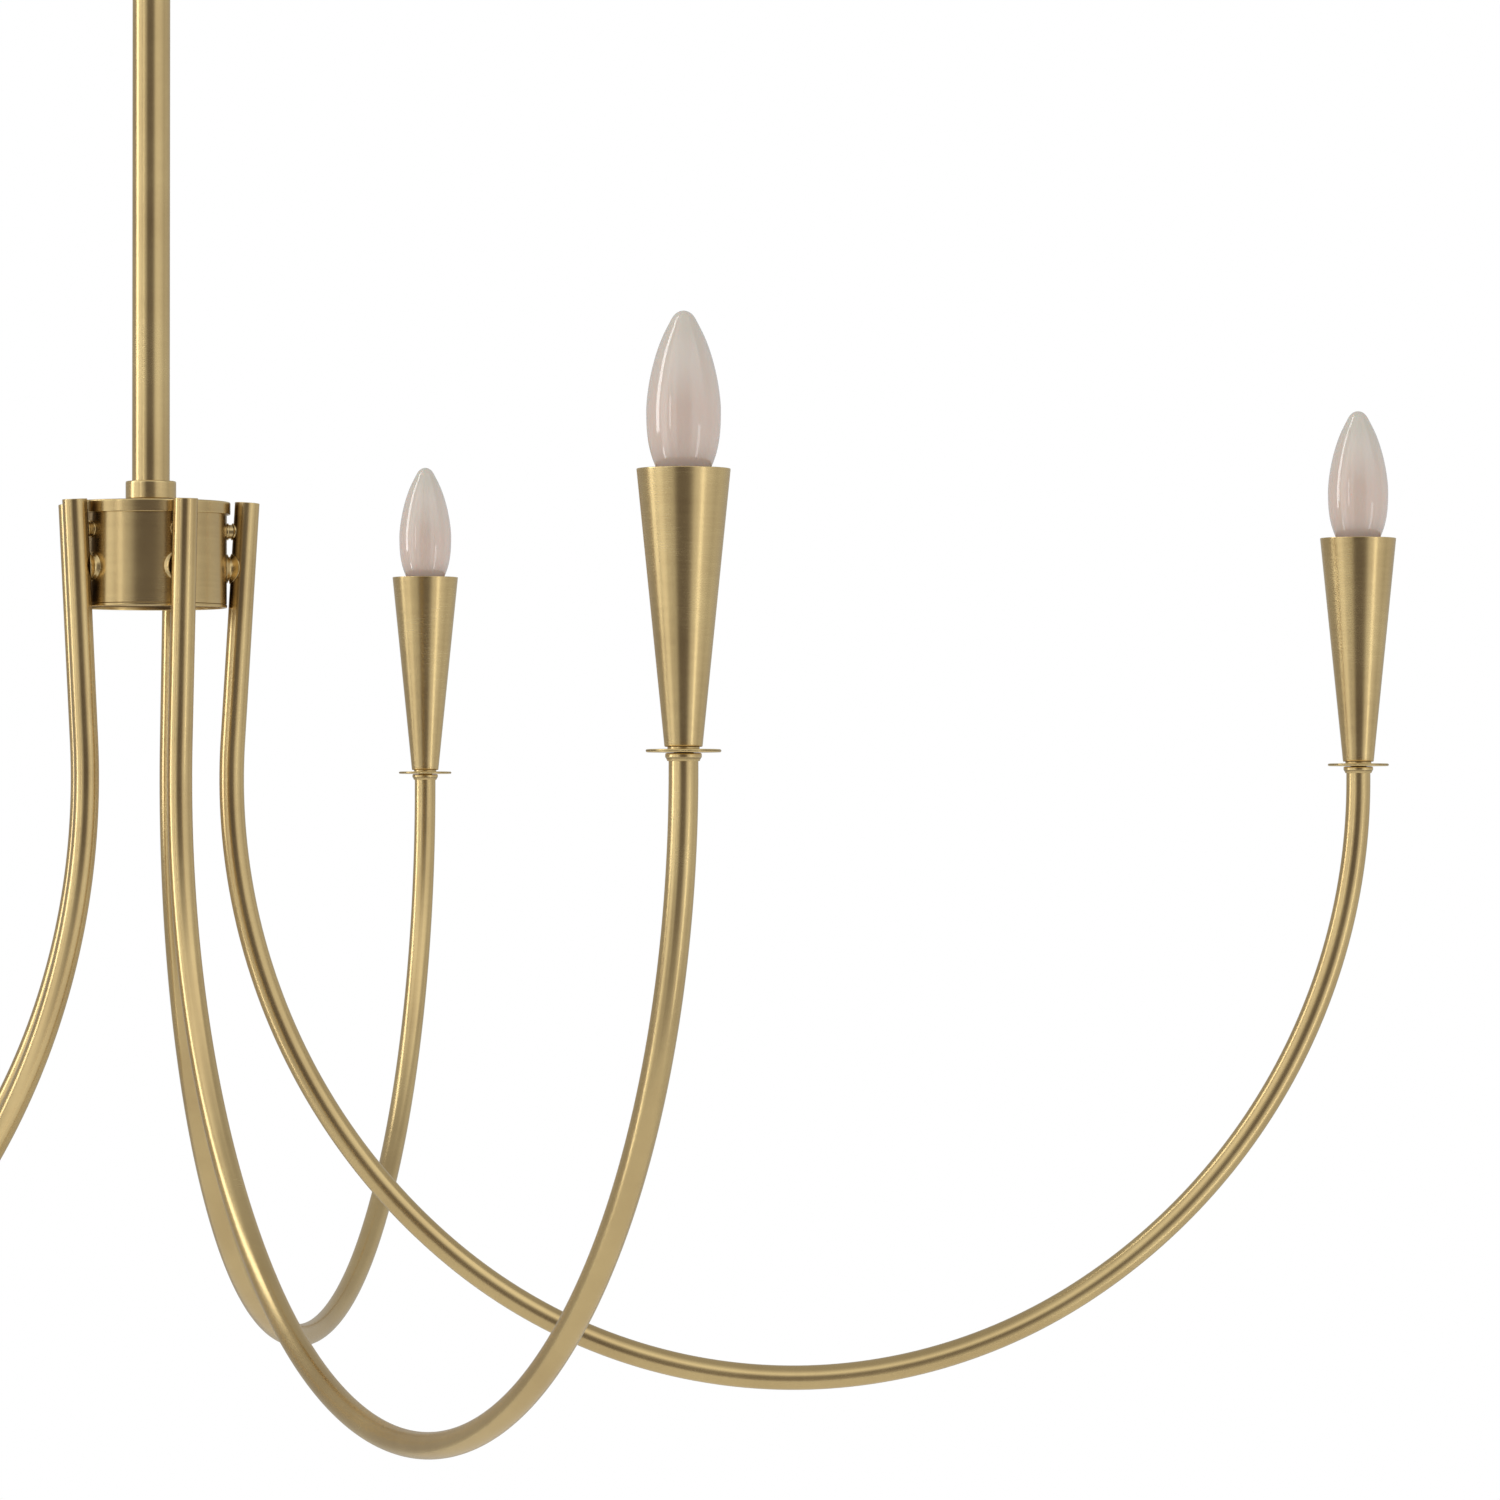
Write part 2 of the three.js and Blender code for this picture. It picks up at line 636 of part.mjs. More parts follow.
// A stud with a washer at each end of its round spacer.
function armStandoff() {
  const axis = armAxisRadius(STANDOFF_DEPTH);
  const washer = STANDOFF_WASHER.dia / 2;
  const waist = STANDOFF_DIA / 2;
  const tubeSide = axis - tubeRadius;
  const lip = STANDOFF_WASHER.thick;
  const spacer = turned(
    [
      [0, hubRadius - BED],
      [washer, hubRadius - BED],
      [washer, hubRadius + FIT + lip],
      [waist, hubRadius + FIT + lip],
      [waist, tubeSide - FIT - lip],
      [washer, tubeSide - FIT - lip],
      [washer, axis - BED],
      [0, axis - BED],
    ],
    SMALL_SIDES,
  );
  spacer.rotateY(Math.PI / 2).translate(0, 0, standoffHeight);
  const stud = crossBar(
    STUD_DIA / 2,
    hubRadius - STUD_IN_DRUM,
    tubeSide + STUD_IN_TUBE,
    standoffHeight,
    BORE_SIDES,
  );
  return join(cut(spacer, ...drumAndTubeClearance()), stud);
}

// A waisted bushing on a short hollow nipple, which leads the wires from the drum into the tube.
function armGrommet() {
  const axis = armAxisRadius(GROMMET_DEPTH);
  const tubeSide = axis - tubeRadius;
  const flare = GROMMET_DIA / 2;
  const waist = GROMMET_WAIST / 2;
  const middle = (hubRadius + tubeSide) / 2;
  const bush = turned(
    [
      [0, hubRadius - BED],
      [flare, hubRadius - BED],
      [flare, hubRadius + FIT + GROMMET_RIM],
      [waist, middle],
      [flare, tubeSide - FIT],
      [flare, axis - BED],
      [0, axis - BED],
    ],
    SMALL_SIDES,
  );
  bush.rotateY(Math.PI / 2).translate(0, 0, grommetHeight);
  const nippleFrom = hubRadius - NIPPLE_IN_DRUM;
  const nippleTo = tubeSide + NIPPLE_IN_TUBE;
  const nipple = crossBar(GROMMET_NIPPLE_DIA / 2, nippleFrom, nippleTo, grommetHeight, TUBE_SIDES);
  const past = CUT_PAST;
  const bore = crossBar(GROMMET_BORE / 2, nippleFrom - past, nippleTo + past, grommetHeight, BORE_SIDES);
  return cut(join(cut(bush, ...drumAndTubeClearance()), nipple), bore);
}

// ---------------------------------------------------------------- lamp, on the Z axis

function ferrule() {
  const foot = ferruleTop - FERRULE_HEIGHT;
  const seat = tubeRadius + FIT;
  const outer = seat + FERRULE_WALL;
  const pipeHole = PIPE_DIA / 2 + FIT;
  return turned(
    [
      [seat, foot],
      ...arcPoints(FERRULE_WALL, seat, foot + FERRULE_WALL, -45, 0, 1),
      [outer, ferruleTop],
      [pipeHole, ferruleTop],
      [pipeHole, ferruleTop - FERRULE_SHELF],
      [seat, ferruleTop - FERRULE_SHELF],
      [seat, foot],
    ],
    SMALL_SIDES,
  );
}

function dripDisc() {
  return ring(DISC_DIA / 2, PIPE_DIA / 2 + FIT, discTop - DISC_THICK, discTop, ROUND_SIDES);
}

function coneRadius(height) {
  return (CONE_FOOT_DIA + ((CONE_RIM_DIA - CONE_FOOT_DIA) * (height - coneFoot)) / CONE_HEIGHT) / 2;
}

function coneCup() {
  const pipeHole = PIPE_DIA / 2 + FIT;
  const floorTop = coneFoot + CONE_FLOOR;
  return turned(
    [
      [pipeHole, coneFoot],
      [CONE_FOOT_DIA / 2 - CONE_FOOT_EDGE, coneFoot],
      [coneRadius(coneFoot + CONE_FOOT_EDGE), coneFoot + CONE_FOOT_EDGE],
      [CONE_RIM_DIA / 2, coneRim],
      [CONE_RIM_DIA / 2 - CONE_WALL, coneRim],
      [coneRadius(floorTop) - CONE_WALL, floorTop],
      [pipeHole, floorTop],
      [pipeHole, coneFoot],
    ],
    ROUND_SIDES,
  );
}

// The holder and the hollow pipe that carries it, down through the cone, disc and ferrule into the tube.
function lampSocket() {
  const outer = SOCKET_DIA / 2;
  const inner = BASE_DIA / 2 + SOCKET_FIT;
  const pipe = PIPE_DIA / 2;
  const bore = PIPE_BORE / 2;
  const cavityFoot = contactFoot - FIT;
  return turned(
    [
      [bore, pipeFoot],
      [pipe, pipeFoot],
      [pipe, socketFoot],
      [outer - SOCKET_SHOULDER.width, socketFoot],
      [outer, socketFoot + SOCKET_SHOULDER.height],
      [outer, socketTop],
      [inner, socketTop],
      [inner, cavityFoot],
      [0, cavityFoot],
      [0, cavityFoot - SOCKET_WALL],
      [bore, cavityFoot - SOCKET_WALL],
      [bore, pipeFoot],
    ],
    TUBE_SIDES,
  );
}

function bulbBase() {
  const shell = BASE_DIA / 2;
  return turned(
    [
      [0, contactFoot],
      [CONTACT.dia / 2, contactFoot],
      [CONTACT.dia / 2, contactFoot + CONTACT.height],
      [shell, contactFoot + CONTACT.height + CONTACT.shoulder],
      [shell, baseTop],
      [0, baseTop],
    ],
    TUBE_SIDES,
  );
}

// Half width of the glass at a distance below its tip: a blunt point above the widest place, a swelling
// that draws in to the neck below it.
function glassRadius(distance) {
  const neck = BULB_NECK_DIA / 2;
  if (distance < BULB_WIDEST) {
    return (BULB_DIA / 2) * (1 - (1 - distance / BULB_WIDEST) ** GLASS_POINT) ** GLASS_BLUNTNESS;
  }
  const share = (distance - BULB_WIDEST) / (BULB_GLASS_LENGTH - BULB_WIDEST);
  return neck + (BULB_DIA / 2 - neck) * (1 - share ** GLASS_SWELL);
}

// A hollow envelope, open at the neck. The inside has fewer rings, so it is drawn in by a share as well,
// which keeps its flat facets clear of the outside.
function bulbGlass() {
  const drawnIn = 0.93;
  const tip = glassFoot + BULB_GLASS_LENGTH;
  const shares = [1, 0.9, 0.76, 0.55, 0.36, 0.18, 0.05];
  const outside = shares
    .map((share) => share * BULB_GLASS_LENGTH)
    .map((s) => [glassRadius(s), tip - s]);
  const inside = shares
    .filter((_, i) => i % 2 === 0)
    .map((share) => share * BULB_GLASS_LENGTH)
    .map((s) => [glassRadius(s) * drawnIn - BULB_WALL, tip - s]);
  const inner = inside.filter(([radius]) => radius > BULB_WALL).reverse();
  inner.push([BULB_NECK_DIA / 2 - BULB_WALL, glassFoot]);
  return turned([...outside, [0, tip], [0, tip - 3 * BULB_WALL], ...inner, outside[0]], SMALL_SIDES);
}

// ---------------------------------------------------------------- wiring

// One connected harness: the supply lead down the rods, the splice in the drum, and a wire out along
// each arm.
function wiringHarness() {
  const leadTop = upperRodTop - SPIGOT_LENGTH + WIRE_TAIL;
  const lead = bar(PIPE_BORE / 2 - LEAD_CLEARANCE, grommetHeight, leadTop, BORE_SIDES);
  const spliceHalf = SPLICE.height / 2;
  const splice = bar(SPLICE.dia / 2, grommetHeight - spliceHalf, grommetHeight + spliceHalf, TUBE_SIDES);
  const corner = armAxisRadius(GROMMET_DEPTH);
  const start = new THREE.Vector3(corner, 0, grommetHeight);
  const beforeCorner = GROMMET_DEPTH / Math.cos(leanRadians);
  const wirePath = new BentPath(start, -ARM_LEAN, [
    { length: ARM_TOP_STRAIGHT - beforeCorner },
    ...armBends,
    // up the lamp pipe to just under the socket's floor
    { length: contactFoot - FIT - SOCKET_WALL - FIT - tubeEnd },
  ]);
  const section = new THREE.Shape(regularPolygon(ARM_WIRE_DIA / 2, WIRE_SIDES));
  const wires = armAngles.flatMap((angle) => [
    crossBar(ARM_WIRE_DIA / 2, SPLICE.dia / 4, corner, grommetHeight, WIRE_SIDES).rotateZ(angle),
    new THREE.SphereGeometry(ARM_WIRE_DIA / 2, 6, 4).translate(corner, 0, grommetHeight).rotateZ(angle),
    alongPath(wirePath, section).rotateZ(angle),
  ]);
  return join(lead, splice, ...wires);
}

// ---------------------------------------------------------------- assembly

const armAngles = Array.from({ length: ARM_COUNT }, (_, i) => (2 * Math.PI * i) / ARM_COUNT);

function piece(name, geometry, material, parent) {
  const mesh = new THREE.Mesh(geometry, material.clone());
  mesh.name = name;
  parent.add(mesh);
  return mesh;
}

const chandelier = new THREE.Group();
chandelier.name = "chandelier";

piece("crossbar", crossbar(), ZINC, chandelier);
piece("canopy", canopy(), BRASS, chandelier);
const screw = canopyScrew();
piece("canopy_screw_left", screw, BRASS, chandelier).position.x = -CANOPY_SCREW_SPACING / 2;
piece("canopy_screw_right", screw, BRASS, chandelier).position.x = CANOPY_SCREW_SPACING / 2;
piece("swivel_housing", swivelHousing(), BRASS, chandelier);
piece("swivel_knuckle", swivelKnuckle(), BRASS, chandelier);
piece("swivel_pin", swivelPin(), BRASS, chandelier);
piece("swivel_tongue", swivelTongue(), BRASS, chandelier);
piece("upper_rod", rod(upperRodFoot), BRASS, chandelier);
piece("rod_coupler", rodCoupler(), BRASS, chandelier);
piece("lower_rod", rod(lowerRodFoot), BRASS, chandelier);
piece("hub_collar", hubCollar(), BRASS, chandelier);
piece("hub_lid", hubLid(), BRASS, chandelier);
piece("hub_drum", hubDrum(), BRASS, chandelier);
piece("wiring_harness", wiringHarness(), SLEEVE, chandelier);

const armPieces = [
  ["arm_tube", armTube(), BRASS],
  ["arm_standoff", armStandoff(), BRASS],
  ["arm_grommet", armGrommet(), BRASS],
];
const lampPieces = [
  ["ferrule", ferrule(), BRASS],
  ["drip_disc", dripDisc(), BRASS],
  ["cone_cup", coneCup(), BRASS],
  ["lamp_socket", lampSocket(), PHENOLIC],
  ["bulb_base", bulbBase(), BRIGHT_BRASS],
  ["bulb_glass", bulbGlass(), OPAL],
];

armAngles.forEach((angle, i) => {
  const arm = new THREE.Group();
  arm.rotation.z = angle;
  const lamp = new THREE.Group();
  lamp.position.x = lampRadius;
  arm.add(lamp);
  for (const [name, geometry, material] of armPieces) piece(`${name}_${i + 1}`, geometry, material, arm);
  for (const [name, geometry, material] of lampPieces) piece(`${name}_${i + 1}`, geometry, material, lamp);
  chandelier.add(arm);
});

export default chandelier;
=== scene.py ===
"""The finished surfaces of a five-arm candle chandelier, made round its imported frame. Metres, +Z up."""

import math

import bpy
import numpy as np
from bpy.props import FloatProperty, FloatVectorProperty, PointerProperty
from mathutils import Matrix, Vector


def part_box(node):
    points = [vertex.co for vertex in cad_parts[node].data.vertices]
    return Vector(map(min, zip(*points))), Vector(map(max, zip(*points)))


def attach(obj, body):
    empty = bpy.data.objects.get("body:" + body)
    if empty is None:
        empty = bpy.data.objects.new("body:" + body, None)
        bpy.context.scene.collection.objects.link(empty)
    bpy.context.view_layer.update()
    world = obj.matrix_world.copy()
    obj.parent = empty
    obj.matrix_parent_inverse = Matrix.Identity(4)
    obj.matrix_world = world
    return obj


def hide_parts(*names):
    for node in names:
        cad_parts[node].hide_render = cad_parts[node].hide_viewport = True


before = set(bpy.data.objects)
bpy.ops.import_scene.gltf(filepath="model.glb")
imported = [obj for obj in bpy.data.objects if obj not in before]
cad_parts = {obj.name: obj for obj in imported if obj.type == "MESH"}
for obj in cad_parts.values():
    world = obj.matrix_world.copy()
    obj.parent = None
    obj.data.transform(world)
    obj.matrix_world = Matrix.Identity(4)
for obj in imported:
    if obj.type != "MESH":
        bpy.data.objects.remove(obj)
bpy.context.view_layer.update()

bl_info = {
    "name": "Candle Chandelier",
    "version": (1, 0, 0),
    "blender": (4, 5, 0),
    "location": "3D View > Sidebar > Chandelier",
    "description": "Makes the pieces of a five-arm candle chandelier round its frame",
    "category": "Add Mesh",
}

MM = 0.001
TAU = 2 * math.pi
SURFACE = "surface"  # the UV map of every new piece: metres along the profile, share of a turn round it
EDGE_AND_SHADE = "edge"  # the attribute that is 1 on a rounded outer edge and -1 in an inner corner; on the drum behind each arm and on the arm tubes' side that faces the drum it also carries painted shade
ARMS = range(1, 6)
GAP = 0.3 * MM  # what the frame leaves between two pieces
BED = 0.05 * MM  # what is left between two finished pieces that bear on each other
PIPE_RADIUS = 4.8 * MM  # the threaded pipes that the lead and the wires run through
PIPE_BORE = 3.2 * MM
PIPE_HOLE = PIPE_RADIUS + GAP
SHEET = 1.5 * MM  # the brass of the lid, the drum and the rods

# ------------------------------------------------------------------ sizes, from the frame


class Place:
    """A frame node at rest: its upright axis, its half width and its heights."""

    def __init__(self, node):
        low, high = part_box(node)
        self.x = (low.x + high.x) / 2
        self.y = (low.y + high.y) / 2
        self.radius = max(high.x - low.x, high.y - low.y) / 2
        self.low = low.z
        self.high = high.z
        self.middle = (low.z + high.z) / 2


LID_TOP = Place("hub_lid").high
DRUM = Place("hub_drum")
PIVOT = Place("swivel_pin").middle
LAMP_RADIUS = Place("cone_cup_1").x


def length(name, description, millimetres):
    return FloatProperty(
        name=name,
        description=description,
        default=millimetres * MM,
        min=0.0,
        precision=4,
        subtype="DISTANCE",
        unit="LENGTH",
    )


def angle(name, description, degrees):
    return FloatProperty(
        name=name,
        description=description,
        default=math.radians(degrees),
        subtype="ANGLE",
        unit="ROTATION",
    )


def share(name, description, default):
    return FloatProperty(name=name, description=description, default=default, min=0.0, max=1.0)


def colour(name, description, *rgb):
    return FloatVectorProperty(
        name=name, description=description, default=rgb, size=3, min=0.0, max=1.0, subtype="COLOR"
    )


class ChandelierArm(bpy.types.PropertyGroup):
    """The line that each arm tube is bent to, and the pieces that hold it to the drum."""

    tube_radius: length("Tube radius", "Outside radius of the arm tube", 7)
    wall: length("Tube wall", "Thickness of the arm tube", 1.2)
    lean: angle("Lean", "How far the top of an arm leans out", 3.4)
    top_straight: length("Top straight", "Straight length beside and below the drum", 136)
    fall_radius: length("Fall radius", "Radius of the first bend, outwards", 354)
    fall_angle: angle("Fall angle", "Turn of the first bend", 53)
    bowl_radius: length("Bowl radius", "Radius of the bend through the lowest point", 311)
    bowl_angle: angle("Bowl angle", "Turn of the bowl", 72)
    rise_radius: length("Rise radius", "Radius of the last bend, up to vertical", 349)
    end_straight: length("End straight", "Straight length under the lamp", 6.5)
    washer_radius: length("Washer radius", "Radius of a standoff's washers", 4.8)
    washer_thickness: length("Washer thickness", "Thickness of a standoff's washers", 0.9)
    spacer_radius: length("Spacer radius", "Radius of a standoff between its washers", 4.1)
    grommet_radius: length("Grommet radius", "Radius of a grommet's rims", 8.5)
    grommet_waist: length("Grommet waist", "Radius of a grommet at its waist", 6.7)


class ChandelierLamp(bpy.types.PropertyGroup):
    """Ferrule, drip disc, cone cup, socket and bulb."""

    cone_foot_radius: length("Cone foot", "Radius of the cone cup at its foot", 8.85)
    cone_wall: length("Cone wall", "Thickness of the cone cup", 1.0)
    pipe_radius: length("Pipe radius", "Radius of the threaded lamp pipe", PIPE_RADIUS / MM)
    bulb_widest: length("Widest place", "Distance from the bulb's tip to its widest place", 46.5)
    bulb_neck_radius: length("Bulb neck", "Radius of the glass where it enters the base", 6.5)
    tip_radius: length("Bulb tip", "Radius of the ball that the glass ends in", 5.5)
    thread_pitch: length("Thread pitch", "Pitch of the bulb base's rolled thread", 1.9)


class ChandelierBrass(bpy.types.PropertyGroup):
    """The brushed antique brass that most pieces have."""

    bright: colour("Bright", "Colour where the brass is rubbed clean", 0.80, 0.62, 0.305)
    patina: colour("Patina", "Colour where the patina is thickest", 0.50, 0.35, 0.165)
    roughness: share("Roughness", "Mean roughness of the satin brass", 0.25)
    brushing: share("Brushing", "How strongly the brush lines show", 0.3)


class ChandelierStudio(bpy.types.PropertyGroup):
    """Camera, floor and the round dome of studio light."""

    camera_distance: length("Camera distance", "From the camera to the downrod", 3617)
    camera_height: FloatProperty(
        name="Camera height", description="Camera above the ceiling face", default=-0.878, unit="LENGTH"
    )
    camera_bearing: angle("Camera bearing", "Where the camera stands, clockwise from the -Y axis", 2.73)
    aim_bearing: angle("Aim bearing", "Which way the camera looks, clockwise from the +Y axis", 8.12)
    aim_rise: angle("Aim rise", "How far the camera looks up", 0.65)
    focal_length: FloatProperty(
        name="Focal length", description="Lens of the camera in millimetres", default=152.47, min=1.0
    )
    floor_drop: length("Floor drop", "From the ceiling face to the floor", 2440)
    floor_radius: length("Floor radius", "Radius of the round floor", 2200)


class ChandelierSettings(bpy.types.PropertyGroup):
    """Everything that can be set on the chandelier."""

    arm: PointerProperty(type=ChandelierArm)
    lamp: PointerProperty(type=ChandelierLamp)
    brass: PointerProperty(type=ChandelierBrass)
    studio: PointerProperty(type=ChandelierStudio)


# ------------------------------------------------------------------ surfaces


def outline(corners, closed=False, steps=5):
    """A profile through corners of (across, up, fillet), as points and their edge values.

    A corner is rounded by an arc that touches both its sides: its centre lies on the corner's bisector, and
    its points turn evenly from one touching point to the other. One more point on each side keeps the
    shading of the flat beside it flat. The edge value is 1 where the profile turns left, -1 where it turns
    right and 0 elsewhere.
    """
    places = np.array([corner[:2] for corner in corners], float)
    last = len(corners) - 1
    path, edge = [], []
    for i, fillet in enumerate(corner[2] for corner in corners):
        here = places[i]
        if fillet == 0 or (not closed and i in (0, last)):
            path.append(here[None])
            edge.append(np.zeros(1))
            continue
        back = places[i - 1] - here
        ahead = places[(i + 1) % len(corners)] - here
        back_length, ahead_length = np.hypot(*back), np.hypot(*ahead)
        back, ahead = back / back_length, ahead / ahead_length
        half = math.acos(np.clip(back @ ahead, -1, 1)) / 2
        bisector = (back + ahead) / np.hypot(*(back + ahead))
        centre = here + bisector * fillet / math.sin(half)
        reach = fillet / math.tan(half)
        span = math.pi - 2 * half
        part = np.linspace(0, 1, steps + 1)[:, None]
        start, end = here + back * reach - centre, here + ahead * reach - centre
        arc = centre + (np.sin((1 - part) * span) * start + np.sin(part * span) * end) / math.sin(span)
        before = here + back * (reach + min(fillet, (back_length - reach) / 4))
        after = here + ahead * (reach + min(fillet, (ahead_length - reach) / 4))
        turn = math.copysign(1.0, -back[0] * ahead[1] + back[1] * ahead[0])
        path.append(np.vstack([before, arc, after]))
        edge.append(np.concatenate([[0], np.full(steps + 1, turn), [0]]))
    path, edge = np.vstack(path), np.concatenate(edge)
    if closed:
        path, edge = np.vstack([path, path[:1]]), np.append(edge, edge[0])
    return path, edge


def dense(path, edge, spacing):
    """The same profile with points no further apart than a spacing, by linear interpolation of its length."""
    run = np.concatenate([[0], np.cumsum(np.hypot(*np.diff(path, axis=0).T))])
    keep = np.unique(np.concatenate([run, np.arange(0, run[-1], spacing)]))
    across, up = (np.interp(keep, run, path[:, axis]) for axis in (0, 1))
    return np.stack([across, up], -1), np.interp(keep, run, edge)


def columns(sides):
    """Angles once round, the last the first again, so that the seam closes."""
    return (np.arange(sides + 1) % sides) * (TAU / sides)


def turned(path, sides, ripple=None):
    """A turned surface: each point of the profile goes round the Z axis.

    ripple(radius, height, angle) is added to the radius.
    """
    radius, height = path[:, :1], path[:, 1:]
    around = columns(sides)[None]
    if ripple is not None:
        radius = radius + ripple(radius, height, around)
    flat = np.zeros_like(around)
    return np.stack([radius * np.cos(around), radius * np.sin(around), height + flat], -1)


def moved(points, x=0.0, y=0.0, bearing=0.0):
    """The points shifted in X and Y, then turned about the Z axis."""
    shifted = points + np.array([x, y, 0.0])
    c, s = math.cos(bearing), math.sin(bearing)
    return shifted @ np.array([[c, s, 0], [-s, c, 0], [0, 0, 1]])


class BentLine:
    """A tube bender's line in the XZ plane: straights and arcs that meet in tangent.

    The heading is measured from straight down and grows outwards. Along a leg it grows evenly by the leg's
    turn, so after a run of the leg the line has moved by the chord of that arc, in its mean heading.
    """

    def __init__(self, start, heading, legs):
        lengths, turns = np.array(legs, float).T
        self.curl = turns / lengths
        self.starts = np.concatenate([[0], np.cumsum(lengths)])
        self.headings = heading + np.concatenate([[0], np.cumsum(turns)])
        steps = self.chord(lengths, self.headings[:-1], turns)
        self.corners = np.vstack([start, start + np.cumsum(steps, axis=0)])

    @staticmethod
    def chord(run, heading, turn):
        """The move along an arc: its length times the sinc of half its turn, in its mean heading."""
        chord = run * np.sinc(turn / TAU)
        middle = heading + turn / 2
        return np.stack([chord * np.sin(middle), -chord * np.cos(middle)], -1)

    @property
    def length(self):
        return self.starts[-1]

    @property
    def end(self):
        return self.corners[-1]

    def at(self, distance):
        """Places and headings at distances along the line."""
        leg = np.clip(np.searchsorted(self.starts, distance, side="right") - 1, 0, len(self.curl) - 1)
        run = distance - self.starts[leg]
        turn = self.curl[leg] * run
        places = self.corners[leg] + self.chord(run, self.headings[leg], turn)
        return places, self.headings[leg] + turn


def carried(line, path, sides):
    """A profile of (radius, distance) carried along a bent line: each row is a circle square to the line."""
    places, heading = line.at(path[:, 1])
    heading = heading[:, None]
    around = columns(sides)[None]
    across = path[:, :1] * np.cos(around)
    x = places[:, :1] + across * np.cos(heading)
    z = places[:, 1:] + across * np.sin(heading)
    return np.stack([x, -path[:, :1] * np.sin(around), z], -1)


class Skin:
    """Closed grids of points that become one mesh."""

    def __init__(self, grid, edge):
        self.points, self.edges = [], []
        self.quads, self.triangles = [], []
        self.quad_places, self.triangle_places = [], []
        self.count = 0
        self.add(grid, edge)

    def add(self, grid, edge=0.0):
        """Adds a grid of rows and columns that closes on itself, with an edge value for each row or point.

        Each four neighbours are a face. Points in one place are welded, which closes seams and poles, and
        a face that loses a corner by it becomes a triangle. If the enclosed volume comes out negative, the
        faces are turned round.
        """
        rows, cols = grid.shape[:2]
        run = np.linalg.norm(np.diff(grid, axis=0), axis=2).mean(1)
        along = np.concatenate([[0], np.cumsum(run)])
        place = np.stack(np.meshgrid(along, np.arange(cols) / (cols - 1), indexing="ij"), -1).reshape(-1, 2)
        points = grid.reshape(-1, 3)
        edge = np.asarray(edge, float)
        edge = edge if edge.ndim == 2 else edge.reshape(-1, 1)
        values = np.broadcast_to(edge, (rows, cols)).reshape(-1)
        index = np.arange(rows * cols).reshape(rows, cols)
        quads = np.stack([index[:-1, :-1], index[:-1, 1:], index[1:, 1:], index[1:, :-1]], -1).reshape(-1, 4)
        keys = np.rint(points / 1e-7).astype(np.int64)
        _, first, weld = np.unique(keys, axis=0, return_index=True, return_inverse=True)
        faces = weld.reshape(-1)[quads]
        a, b, c, d = points[first][faces].transpose(1, 0, 2)
        volume = np.einsum("ij,ij->", a, np.cross(b, c) + np.cross(c, d))
        if volume < 0:
            faces, quads = faces[:, ::-1], quads[:, ::-1]
        keep = faces != np.roll(faces, -1, axis=1)
        whole, part = keep.all(1), keep.sum(1) == 3
        self.quads.append(faces[whole] + self.count)
        self.triangles.append(faces[part][keep[part]].reshape(-1, 3) + self.count)
        self.quad_places.append(place[quads[whole]].reshape(-1, 2))
        self.triangle_places.append(place[quads[part][keep[part]]].reshape(-1, 2))
        self.points.append(points[first])
        self.edges.append(values[first])
        self.count += len(first)

    def mesh(self, name):
        """The grids as one smooth mesh, with a UV map of their places and an attribute of edge values."""
        mesh = bpy.data.meshes.new(name)
        faces = np.vstack(self.quads).tolist() + np.vstack(self.triangles).tolist()
        mesh.from_pydata(np.vstack(self.points).tolist(), [], faces)
        places = np.vstack(self.quad_places + self.triangle_places)
        mesh.uv_layers.new(name=SURFACE).data.foreach_set("uv", places.ravel())
        edge = mesh.attributes.new(EDGE_AND_SHADE, "FLOAT", "POINT")
        edge.data.foreach_set("value", np.concatenate(self.edges))
        mesh.shade_smooth()
        mesh.update()
        return mesh


def piece(name, skin, finish, body, *nodes):
    """Makes a skin an object with a finish, which rides on a body and stands for the frame nodes named."""
    material, slot = finishes()[finish]
    mesh = skin.mesh(name)
    mesh.materials.append(material)
    made = bpy.data.objects.new(name, mesh)
    bpy.context.scene.collection.objects.link(made)
    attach(made, body)
    if nodes:
        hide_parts(*nodes)


def mirrored(corners, middle):
    """The corners, then the same corners in reverse, turned upside down about a height."""
    return [*corners, *((across, 2 * middle - up, fillet) for across, up, fillet in reversed(corners))]


def lathe(corners, sides, closed=False, steps=5, spacing=None, ripple=None):
    """The grid and edge values of a turned piece. Its profile gets more points if a spacing is given."""
    path, edge = outline(corners, closed, steps)
    if spacing is not None:
        path, edge = dense(path, edge, spacing)
    return turned(path, sides, ripple), edge


def stood(surface, node):
    """A skin of a grid and its edge values, moved onto the upright axis of a frame node."""
    grid, edge = surface
    place = Place(node)
    return Skin(moved(grid, place.x, place.y), edge)


def swung(surface, number):
    """A skin of a grid and its edge values, made for the X axis and swung round to an arm's bearing."""
    grid, edge = surface
    return Skin(moved(grid, bearing=arm_bearing(number)), edge)


def thread_wave(pitch, depth, low, high):
    """A ripple for threads: a rounded ridge that climbs one pitch a turn and fades out at both ends."""

    def ripple(radius, height, around):
        phase = height / pitch - around / TAU
        fade = np.clip((height - low) / pitch, 0, 1) * np.clip((high - height) / pitch, 0, 1)
        return -depth * fade * (0.5 - 0.5 * np.cos(TAU * phase))

    return ripple


def threaded_bar(radius, low, high, pitch, depth):
    """A solid bar with a thread on it, its ends closed at the axis."""
    corners = [(0, low, 0), (radius, low, depth), (radius, high, depth), (0, high, 0)]
    wave = thread_wave(pitch, depth, low + depth, high - depth)
    return lathe(corners, 32, steps=2, spacing=pitch / 6, ripple=wave)


